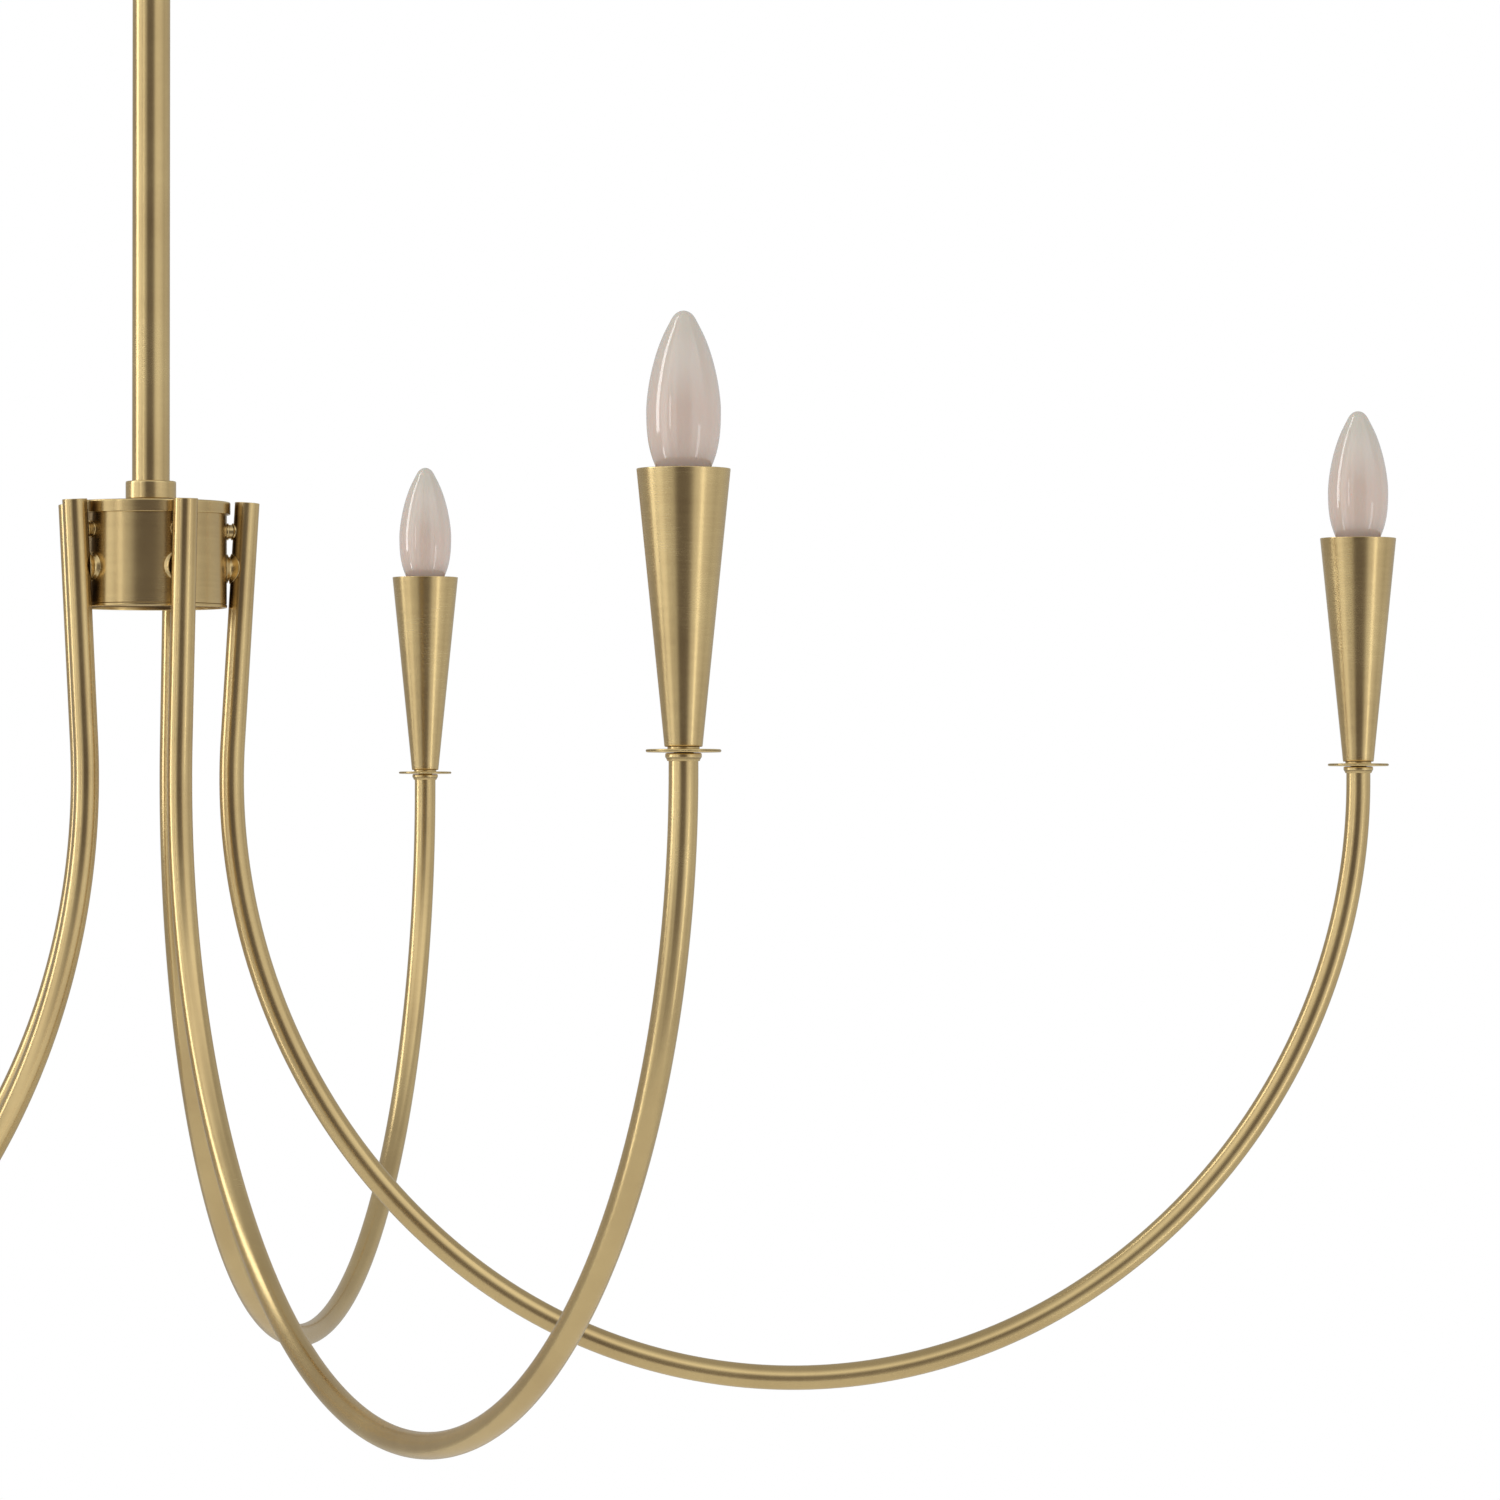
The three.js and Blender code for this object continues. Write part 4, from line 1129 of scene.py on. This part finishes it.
def arm_bends(arm):
    """The arm's legs after its top straight, each a length and a turn."""
    rise = math.pi + arm.lean - arm.fall_angle - arm.bowl_angle
    return [
        (arm.fall_radius * arm.fall_angle, arm.fall_angle),
        (arm.bowl_radius * arm.bowl_angle, arm.bowl_angle),
        (arm.rise_radius * rise, rise),
        (arm.end_straight, 0.0),
    ]


def arm_line(arm):
    """The line of an arm's axis. It ends under its cup, so its top stands back from there by its run."""
    legs = [(arm.top_straight, 0.0), *arm_bends(arm)]
    run = BentLine((0.0, 0.0), -arm.lean, legs).end[0]
    return BentLine((LAMP_RADIUS - run, LID_TOP), -arm.lean, legs)


def arm_bearing(number):
    """The angle about the Z axis at which an arm's cup stands."""
    place = Place(f"cone_cup_{number}")
    return math.atan2(place.y, place.x)


class CHANDELIER_OT_arm_tubes(bpy.types.Operator):
    """Make the arm tubes: a round profile carried along the bent line, plugged just inside its ends, with
    painted shade on the side that faces the drum"""

    bl_idname = "chandelier.arm_tubes"
    bl_label = "Arm Tubes"

    def execute(self, context):
        arm = context.scene.chandelier.arm
        line = arm_line(arm)
        radius, bore, lip = arm.tube_radius, arm.tube_radius - arm.wall, 0.3 * MM
        plug, sides = 1.2 * MM, 48
        corners = [
            (0, plug, 0),
            (bore, plug, 0.15 * MM),
            (bore, 0, 0.2 * MM),
            (radius, 0, lip),
        ]
        path, edge = dense(*outline(mirrored(corners, line.length / 2)), 6 * MM)
        grid = carried(line, path, sides)
        # painted shade: near the drum, the side of each tube that faces it is darkened, by lowering its edge
        # values there
        beside = np.clip((LID_TOP - DRUM.low - path[:, 1:]) / (8 * MM), 0, 1)
        painted_shade_side = np.clip(-np.cos(columns(sides)) * 1.4 - 0.2, 0, 1)
        edge = edge[:, None] - beside * painted_shade_side
        for number in ARMS:
            skin = swung((grid, edge), number)
            piece(f"arm_{number}", skin, "drawn brass", "hanging_frame", f"arm_tube_{number}")
        return {"FINISHED"}


def tube_axis(arm, height):
    """How far an arm tube's axis is from the drum's at a height: its top's, less the drop times the lean."""
    return arm_line(arm).corners[0][0] - (LID_TOP - height) * math.tan(arm.lean)


def drum_gap(arm, height):
    """The distance from the drum's wall to an arm tube's at a height, less a bed at each end."""
    return tube_axis(arm, height) - arm.tube_radius - DRUM.radius - 2 * BED


def between_drum_and_tube(arm, corners, height):
    """A round piece along the X axis that beds on the drum and on an arm tube, with its edge values.

    The profile is (radius, distance from the drum). Near the drum a point keeps its distance from the
    drum's round wall, near the tube its distance from the tube's, and between them it is a mean of both.
    The tube's round side is followed to near its widest, by a fourth-power limit on the sideways distance.
    """
    path, edge = outline(corners)
    gap = drum_gap(arm, height)
    around = columns(72)[None]
    y = path[:, :1] * np.cos(around)
    z = path[:, :1] * np.sin(around)
    wall = np.sqrt((DRUM.radius + BED) ** 2 - y**2)
    widest = 1.03 * arm.tube_radius
    sideways = y / (1 + (y / widest) ** 4) ** 0.25
    side = np.sqrt((arm.tube_radius + BED) ** 2 - sideways**2 + (1 * MM) ** 2) - 0.07 * MM
    tube = tube_axis(arm, height) + z * math.tan(arm.lean) - side
    out = path[:, 1:]
    part = np.clip((out / gap - 0.2) / 0.6, 0, 1)
    x = (1 - part) * (wall + out) + part * (tube + out - gap)
    return np.stack([x, y, height + z], -1), edge


class CHANDELIER_OT_standoffs(bpy.types.Operator):
    """Make the standoffs: a round spacer between two thin washers, bedded on the drum and the tube"""

    bl_idname = "chandelier.standoffs"
    bl_label = "Standoffs"

    def execute(self, context):
        arm = context.scene.chandelier.arm
        height = Place("arm_standoff_1").middle
        thick, soft = arm.washer_thickness, 0.2 * MM
        corners = [
            (0, 0, 0),
            (arm.washer_radius, 0, soft),
            (arm.washer_radius, thick, soft),
            (arm.spacer_radius, thick, 0.1 * MM),
        ]
        standoff = between_drum_and_tube(arm, mirrored(corners, drum_gap(arm, height) / 2), height)
        for number in ARMS:
            skin = swung(standoff, number)
            piece(f"standoff_{number}", skin, "brass", "hanging_frame", f"arm_standoff_{number}")
        return {"FINISHED"}


class CHANDELIER_OT_grommets(bpy.types.Operator):
    """Make the grommets: rings with a waist that grows with the square of the way from its middle, and a
    rounded rim that is dished where it meets the tube"""

    bl_idname = "chandelier.grommets"
    bl_label = "Grommets"

    def execute(self, context):
        arm = context.scene.chandelier.arm
        height = Place("arm_grommet_1").middle
        gap = drum_gap(arm, height)
        rim, waist, nipple = arm.grommet_radius, arm.grommet_waist, 4 * MM
        soft, dish, lip, into_tube = 0.3 * MM, 0.9 * MM, 0.4 * MM, 1.5 * MM
        swell = rim - 0.5 * MM - waist
        hollow = [
            (waist + swell * part**2, gap * (0.5 + part * 0.28), 0) for part in np.linspace(-0.9, 0.9, 13)
        ]
        corners = [
            (0, 0, 0),
            (rim - 0.3 * MM, 0, 0.2 * MM),
            (rim - 0.3 * MM, lip, 0.15 * MM),
            *hollow,
            (rim, gap - lip, soft),
            (rim, gap + lip, soft),
            (rim - 1.1 * MM, gap + lip, soft),
            (rim - 1.6 * MM, gap - dish, 0.2 * MM),
            (nipple, gap - dish, 0),
            (nipple, gap + into_tube, 0.2 * MM),
            (0, gap + into_tube, 0),
        ]
        grommet = between_drum_and_tube(arm, corners, height)
        for number in ARMS:
            skin = swung(grommet, number)
            piece(f"grommet_{number}", skin, "brass", "hanging_frame", f"arm_grommet_{number}")
        return {"FINISHED"}


# ------------------------------------------------------------------ lamps


class CHANDELIER_OT_ferrules(bpy.types.Operator):
    """Make the ferrules: small beads that close the tube under the drip disc"""

    bl_idname = "chandelier.ferrules"
    bl_label = "Ferrules"

    def execute(self, context):
        settings = context.scene.chandelier
        size = Place("ferrule_1")
        seat = settings.arm.tube_radius + BED
        hole = settings.lamp.pipe_radius + GAP
        shelf = size.high - 1.3 * MM
        corners = [
            (seat, size.low, 0.1 * MM),
            (seat + 0.5 * MM, size.low, 0.25 * MM),
            (size.radius - 0.35 * MM, size.low + 1.5 * MM, 0.5 * MM),
            (size.radius, size.low + 1.8 * MM, 0.25 * MM),
            (size.radius, size.high, 0.7 * MM),
            (hole, size.high, 0),
            (hole, shelf, 0),
            (seat, shelf, 0),
        ]
        bead = lathe(corners, 80, closed=True)
        for number in ARMS:
            node = f"ferrule_{number}"
            piece(f"ferrule_bead_{number}", stood(bead, node), "brass", "hanging_frame", node)
        return {"FINISHED"}


class CHANDELIER_OT_drip_discs(bpy.types.Operator):
    """Make the drip discs: thin round plates with a full round edge"""

    bl_idname = "chandelier.drip_discs"
    bl_label = "Drip Discs"

    def execute(self, context):
        size = Place("drip_disc_1")
        hole = context.scene.chandelier.lamp.pipe_radius + GAP
        corners = [(hole, size.low, 0), (size.radius, size.low, 0.7 * MM)]
        plate = lathe(mirrored(corners, size.middle), 112, closed=True)
        for number in ARMS:
            node = f"drip_disc_{number}"
            piece(f"drip_plate_{number}", stood(plate, node), "brass", "hanging_frame", node)
        return {"FINISHED"}


class CHANDELIER_OT_cone_cups(bpy.types.Operator):
    """Make the cone cups: slim thin-walled cones on a recessed foot, each with its nut inside"""

    bl_idname = "chandelier.cone_cups"
    bl_label = "Cone Cups"

    def execute(self, context):
        lamp = context.scene.chandelier.lamp
        size = Place("cone_cup_1")
        hole, foot_radius, wall = lamp.pipe_radius + GAP, lamp.cone_foot_radius, lamp.cone_wall
        seat, floor = size.low - 0.25 * MM, size.low + 1.5 * MM
        slope = (size.radius - foot_radius) / (size.high - size.low)
        recessed, step, lip = foot_radius - 1.3 * MM, 0.8 * MM, 0.3 * MM
        corners = [
            (hole, seat, 0),
            (recessed, seat, 0.1 * MM),
            (recessed, size.low + step, 0.1 * MM),
            (foot_radius + slope * step, size.low + step, 0.5 * MM),
            (size.radius, size.high, lip),
            (size.radius - wall, size.high, lip),
            (foot_radius + slope * (floor - size.low) - wall, floor, 0.4 * MM),
            (hole, floor, 0),
        ]
        cup = lathe(corners, 128, closed=True, spacing=8 * MM)
        nut = hex_ring(14 * MM, lamp.pipe_radius + 0.1 * MM, floor + BED, floor + 3 * MM)
        for number in ARMS:
            node = f"cone_cup_{number}"
            piece(f"cup_{number}", stood(cup, node), "brass", "hanging_frame", node)
            piece(f"cup_nut_{number}", stood(nut, node), "zinc", "hanging_frame")
        return {"FINISHED"}


class CHANDELIER_OT_lamp_sockets(bpy.types.Operator):
    """Make the sockets: moulded bodies with a brass shell, each on its threaded lamp pipe"""

    bl_idname = "chandelier.lamp_sockets"
    bl_label = "Lamp Sockets"

    def execute(self, context):
        lamp = context.scene.chandelier.lamp
        size = Place("lamp_socket_1")
        body_foot = size.high - 42 * MM
        outer, cavity = size.radius, 6.45 * MM
        rim = outer - 0.6 * MM
        floor = Place("bulb_base_1").low - GAP
        corners = [
            (0, body_foot, 0),
            (outer - 3 * MM, body_foot, 0.6 * MM),
            (outer, body_foot + 8 * MM, 1.5 * MM),
            (outer, size.high - 9 * MM, 0.4 * MM),
            (rim, size.high - 8.6 * MM, 0.2 * MM),
            (rim, size.high, 0.8 * MM),
            (cavity, size.high, 0.4 * MM),
            (cavity, floor, 0.3 * MM),
            (0, floor, 0),
        ]
        shell_foot, shell_top, soft = floor + 3 * MM, size.high - 0.8 * MM, 0.08 * MM
        sleeve = [(cavity - 0.3 * MM, shell_foot, soft), (cavity - BED, shell_foot, soft)]
        body = lathe(corners, 72)
        shell = lathe(mirrored(sleeve, (shell_foot + shell_top) / 2), 72, closed=True)
        pipe = threaded_bar(lamp.pipe_radius, size.low, body_foot + 0.5 * MM, 1.4 * MM, 0.35 * MM)
        for number in ARMS:
            node = f"lamp_socket_{number}"
            piece(f"socket_body_{number}", stood(body, node), "phenolic", "hanging_frame", node)
            piece(f"socket_shell_{number}", stood(shell, node), "bulb brass", "hanging_frame")
            piece(f"lamp_pipe_{number}", stood(pipe, node), "zinc", "hanging_frame")
        return {"FINISHED"}


class CHANDELIER_OT_bulb_bases(bpy.types.Operator):
    """Make the bulb bases: a rolled screw shell, its black glass insulator and its solder contact"""

    bl_idname = "chandelier.bulb_bases"
    bl_label = "Bulb Bases"

    def execute(self, context):
        lamp = context.scene.chandelier.lamp
        size = Place("bulb_base_1")
        shell = 5.9 * MM
        foot = size.low + 3.6 * MM
        thread_top = size.high - 4.5 * MM
        corners = [
            (0, foot, 0),
            (shell - 1.6 * MM, foot, 0.3 * MM),
            (shell, foot + 1.6 * MM, 0.5 * MM),
            (shell, size.high, 0.25 * MM),
            (0, size.high, 0),
        ]
        thread = thread_wave(lamp.thread_pitch, 0.7 * MM, foot + 1.2 * MM, thread_top)
        glass = [
            (0, size.low + 1.4 * MM, 0),
            (2.6 * MM, size.low + 1.4 * MM, 0.3 * MM),
            (shell - 1.7 * MM, foot + 0.1 * MM, 0.3 * MM),
            (0, foot + 0.1 * MM, 0),
        ]
        tip = [
            (0, size.low, 0),
            (2.1 * MM, size.low, 1.2 * MM),
            (2.5 * MM, size.low + 1.5 * MM, 0.2 * MM),
            (0, size.low + 1.6 * MM, 0),
        ]
        screw = lathe(corners, 80, spacing=0.16 * MM, ripple=thread)
        insulator, contact = lathe(glass, 48), lathe(tip, 32)
        for number in ARMS:
            body, node = f"bulb_{number}", f"bulb_base_{number}"
            piece(f"bulb_screw_shell_{number}", stood(screw, node), "bulb brass", body, node)
            piece(f"bulb_insulator_{number}", stood(insulator, node), "insulator", body)
            piece(f"bulb_contact_{number}", stood(contact, node), "solder", body)
        return {"FINISHED"}


class CHANDELIER_OT_bulb_glasses(bpy.types.Operator):
    """Make the candle envelopes: the half width is a blunt power curve above the widest place, and below
    it falls to the neck as one less a power of the way down. The tip is a small ball, joined to the curve
    by the eighth root of their eighth powers"""

    bl_idname = "chandelier.bulb_glasses"
    bl_label = "Bulb Glasses"

    def execute(self, context):
        lamp = context.scene.chandelier.lamp
        size = Place("bulb_glass_1")
        half, neck = size.radius, lamp.bulb_neck_radius
        whole = size.high - size.low
        down = whole * (1 - np.cos(np.linspace(0, math.pi, 113))) / 2
        upper = half * (1 - np.abs(1 - down / lamp.bulb_widest) ** 1.6) ** 0.6
        way = np.clip((down - lamp.bulb_widest) / (whole - lamp.bulb_widest), 0, 1)
        lower = neck + (half - neck) * (1 - way**2.7)
        ball = np.sqrt(np.maximum(2 * lamp.tip_radius * down - down**2, 0))
        upper = (upper**8 + ball**8) ** (1 / 8)
        radius = np.where(down < lamp.bulb_widest, upper, lower)
        path = np.stack([radius, size.high - down], -1)[::-1]
        foot = np.array([[0.0, size.low - GAP], [neck - 1 * MM, size.low - GAP]])
        glass = (turned(np.vstack([foot, path]), 96), 0.0)
        for number in ARMS:
            node = f"bulb_glass_{number}"
            piece(f"candle_glass_{number}", stood(glass, node), "opal", f"bulb_{number}", node)
        return {"FINISHED"}


# ------------------------------------------------------------------ wiring


class CHANDELIER_OT_wiring(bpy.types.Operator):
    """Make the wiring: the supply lead in the rods, a wire along each arm, and the wire nuts in the drum"""

    bl_idname = "chandelier.wiring"
    bl_label = "Wiring"

    def execute(self, context):
        height = Place("arm_grommet_1").middle
        corners = [(0, height, 0), (2.7 * MM, height, 0.5 * MM)]
        whole = mirrored(corners, (height + Place("wiring_harness").high) / 2)
        lead = Skin(*lathe(whole, 24, spacing=10 * MM))
        piece("supply_lead", lead, "sleeve", "hanging_frame", "wiring_harness")
        self.arm_wires(context.scene.chandelier.arm, height)
        self.wire_nuts(height)
        return {"FINISHED"}

    @staticmethod
    def arm_wires(arm, height):
        """A wire leaves the drum level, turns down into the tube and follows the arm's line to its socket."""
        wire, turn_radius, start = 1.6 * MM, 4 * MM, 6 * MM
        turn = math.pi / 2 + arm.lean
        fall = turn_radius * (1 + math.sin(arm.lean))
        level = tube_axis(arm, height - fall) - turn_radius * math.cos(arm.lean) - start
        left = arm.top_straight - (LID_TOP - height + fall) / math.cos(arm.lean)
        climb = Place("bulb_base_1").low - 3.8 * MM - arm_line(arm).end[1]
        legs = [(level, 0.0), (turn_radius * turn, -turn), (left, 0.0), *arm_bends(arm), (climb, 0.0)]
        line = BentLine((start, height), math.pi / 2, legs)
        corners = mirrored([(0, 0, 0), (wire, 0, 0.3 * MM)], line.length / 2)
        path, edge = dense(*outline(corners, steps=2), 7 * MM)
        # two more points before the short turn
        path = np.insert(path, 2, [[wire, level * part] for part in (0.5, 0.9)], axis=0)
        edge = np.insert(edge, 2, [0, 0])
        order = np.argsort(path[:, 1], kind="stable")
        grid = carried(line, path[order], 12)
        for number in ARMS:
            piece(f"arm_wire_{number}", swung((grid, edge[order]), number), "sleeve", "hanging_frame")

    @staticmethod
    def wire_nuts(height):
        """Ribbed cones: the ribs are a wave round the axis that fades out towards the tip."""
        corners = [
            (0, height - 8 * MM, 0),
            (4.4 * MM, height - 8 * MM, 0.4 * MM),
            (4.6 * MM, height - 2 * MM, 0.5 * MM),
            (2.8 * MM, height + 7 * MM, 1.4 * MM),
            (0, height + 7.6 * MM, 0),
        ]

        def ribs(radius, level, around):
            return 0.18 * MM * np.clip(radius / (4.4 * MM), 0, 1) ** 3 * np.cos(18 * around)

        grid, edge = lathe(corners, 108, spacing=0.6 * MM, ripple=ribs)
        for number in range(3):
            bearing = TAU * (number + 0.5) / 3
            skin = Skin(moved(grid, x=7.6 * MM, bearing=bearing), edge)
            piece(f"wire_nut_{number + 1}", skin, "wire nut", "hanging_frame")


# ------------------------------------------------------------------ stage

# How bright the light dome is round the horizon: share of a turn clockwise from the far side, seen from
# above, and the level there. One half is the camera's own side, which is dark.
DOME_ROUND = (
    (0.00, 0.50),
    (0.12, 0.40),
    (0.19, 0.38),
    (0.215, 0.34),
    (0.27, 0.40),
    (0.285, 1.05),
    (0.33, 1.05),
    (0.345, 0.55),
    (0.385, 0.46),
    (0.40, 0.66),
    (0.42, 0.45),
    (0.435, 0.12),
    (0.53, 0.15),
    (0.555, 0.40),
    (0.57, 0.78),
    (0.68, 0.74),
    (0.72, 0.60),
    (0.745, 0.50),
    (0.77, 0.62),
    (0.88, 0.50),
    (1.00, 0.50),
)

DOME_OVERHEAD = 0.42
DOME_UNDERFOOT = 0.55

# Soft panels in front of the dome: the middle's share of a turn, half a panel's width, the sines of its
# lowest and highest angle above the horizon, the level it adds, and how sharp its edges are.
DOME_PANELS = (
    (0.243, 0.020, -0.10, 0.88, 2.8, 1),
    (0.273, 0.008, -0.60, -0.28, 3.0, 1),
    (0.369, 0.008, -0.10, 0.27, 1.5, 1),
    (0.628, 0.013, -0.60, -0.02, 1.2, 1),
    (0.500, 0.190, 0.20, 0.95, 0.6, 0.1),
)


class CHANDELIER_OT_stage(bpy.types.Operator):
    """Make the pale floor, the studio's light dome and the camera"""

    bl_idname = "chandelier.stage"
    bl_label = "Stage"

    def execute(self, context):
        studio = context.scene.chandelier.studio
        self.floor(context, studio)
        self.dome(context, studio)
        self.camera(context, studio)
        context.scene.view_settings.view_transform = "Standard"
        return {"FINISHED"}

    @staticmethod
    def floor(context, studio):
        """A thin round plate well below the lamps."""
        top = -studio.floor_drop
        corners = [
            (0, top - 20 * MM, 0),
            (studio.floor_radius, top - 20 * MM, 5 * MM),
            (studio.floor_radius, top, 5 * MM),
            (0, top, 0),
        ]
        mesh = Skin(*lathe(corners, 128)).mesh("floor")
        dark, light = (0.86, 0.855, 0.845), (0.90, 0.895, 0.885)
        pale = speckled("floor_pale", dark, light, 0.8, 40, 0.2 * MM, glow=0.12)
        mesh.materials.append(pale)
        plate = bpy.data.objects.new("floor", mesh)
        context.scene.collection.objects.link(plate)

    @staticmethod
    def dome(context, studio):
        """White to the camera. To everything else it has broad soft lights round the horizon, fading
        into an even level overhead and another underfoot, with soft panels in front. Where it is dim, it
        is warm."""
        world = bpy.data.worlds.new("studio")
        context.scene.world = world
        world.use_nodes = True
        graph = Graph(world.node_tree)
        east, north, up = graph.parts(graph.add("ShaderNodeTexCoord"))
        bearing = studio.camera_bearing
        right = east * math.cos(bearing) - north * math.sin(bearing)
        away = east * math.sin(bearing) + north * math.cos(bearing)
        turn = graph.maths("ARCTAN2", right, 0 - away) / TAU + 0.5
        ring = graph.add("ShaderNodeValToRGB", {"stops": DOME_ROUND}, {0: turn})
        ring_level = graph.parts(ring)[0]
        fade, edge_round, edge_up = 2.2, 600, 30
        rise = graph.clamp((up - 0.22) * fade)
        fall = graph.clamp((0 - up - 0.25) * fade)
        level = ring_level * (1 - rise) + rise * DOME_OVERHEAD
        level = level * (1 - fall) + fall * DOME_UNDERFOOT
        for middle, half, low, high, added, sharp in DOME_PANELS:
            across = graph.clamp((half - graph.maths("ABSOLUTE", turn - middle)) * (edge_round * sharp))
            above = graph.clamp((up - low) * (edge_up * sharp))
            inside = above * graph.clamp((high - up) * (edge_up * sharp))
            level = level + across * inside * added
        seen = graph.add("ShaderNodeLightPath")
        strength = level * (1 - seen) + seen
        warm, white = (1.0, 0.84, 0.86), (1.0, 1.0, 1.0)
        tint = graph.blend(graph.clamp(strength * 2.2), warm, white)
        light = graph.add("ShaderNodeBackground", values={"Color": tint, "Strength": strength})
        graph.add("ShaderNodeOutputWorld", values={"Surface": light})

    @staticmethod
    def camera(context, studio):
        """Stands off from the downrod and looks past it, so that the hub is at the left of the view."""
        data = bpy.data.cameras.new("camera")
        data.lens = studio.focal_length
        data.clip_end = 100.0
        camera = bpy.data.objects.new("camera", data)
        context.scene.collection.objects.link(camera)
        bearing = studio.camera_bearing
        stand = studio.camera_distance
        camera.location = (-stand * math.sin(bearing), -stand * math.cos(bearing), studio.camera_height)
        camera.rotation_euler = (math.pi / 2 + studio.aim_rise, 0, -studio.aim_bearing)
        context.scene.camera = camera


# ------------------------------------------------------------------ panel and registration

OPERATORS = (
    CHANDELIER_OT_crossbar,
    CHANDELIER_OT_canopy,
    CHANDELIER_OT_canopy_screws,
    CHANDELIER_OT_swivel_housing,
    CHANDELIER_OT_swivel_knuckle,
    CHANDELIER_OT_swivel_pin,
    CHANDELIER_OT_swivel_tongue,
    CHANDELIER_OT_rods,
    CHANDELIER_OT_rod_coupler,
    CHANDELIER_OT_hub_collar,
    CHANDELIER_OT_hub_lid,
    CHANDELIER_OT_hub_drum,
    CHANDELIER_OT_arm_tubes,
    CHANDELIER_OT_standoffs,
    CHANDELIER_OT_grommets,
    CHANDELIER_OT_ferrules,
    CHANDELIER_OT_drip_discs,
    CHANDELIER_OT_cone_cups,
    CHANDELIER_OT_lamp_sockets,
    CHANDELIER_OT_bulb_bases,
    CHANDELIER_OT_bulb_glasses,
    CHANDELIER_OT_wiring,
    CHANDELIER_OT_stage,
)


class CHANDELIER_PT_pieces(bpy.types.Panel):
    """Lists the pieces and the stage"""

    bl_label = "Chandelier"
    bl_idname = "CHANDELIER_PT_pieces"
    bl_space_type = "VIEW_3D"
    bl_region_type = "UI"
    bl_category = "Chandelier"

    def draw(self, context):
        for operator in OPERATORS:
            self.layout.operator(operator.bl_idname)
        for group in ("arm", "lamp", "brass", "studio"):
            settings = getattr(context.scene.chandelier, group)
            box = self.layout.box()
            box.label(text=group.title())
            for name in settings.bl_rna.properties.keys():
                if name not in ("rna_type", "name"):
                    box.prop(settings, name)


CLASSES = (
    ChandelierArm,
    ChandelierLamp,
    ChandelierBrass,
    ChandelierStudio,
    ChandelierSettings,
    *OPERATORS,
    CHANDELIER_PT_pieces,
)


def register():
    for kind in CLASSES:
        bpy.utils.register_class(kind)
    bpy.types.Scene.chandelier = PointerProperty(type=ChandelierSettings)


def unregister():
    del bpy.types.Scene.chandelier
    for kind in reversed(CLASSES):
        bpy.utils.unregister_class(kind)


def main():
    register()
    for operator in OPERATORS:
        group, name = operator.bl_idname.split(".")
        getattr(getattr(bpy.ops, group), name)()


if __name__ == "__main__":
    main()
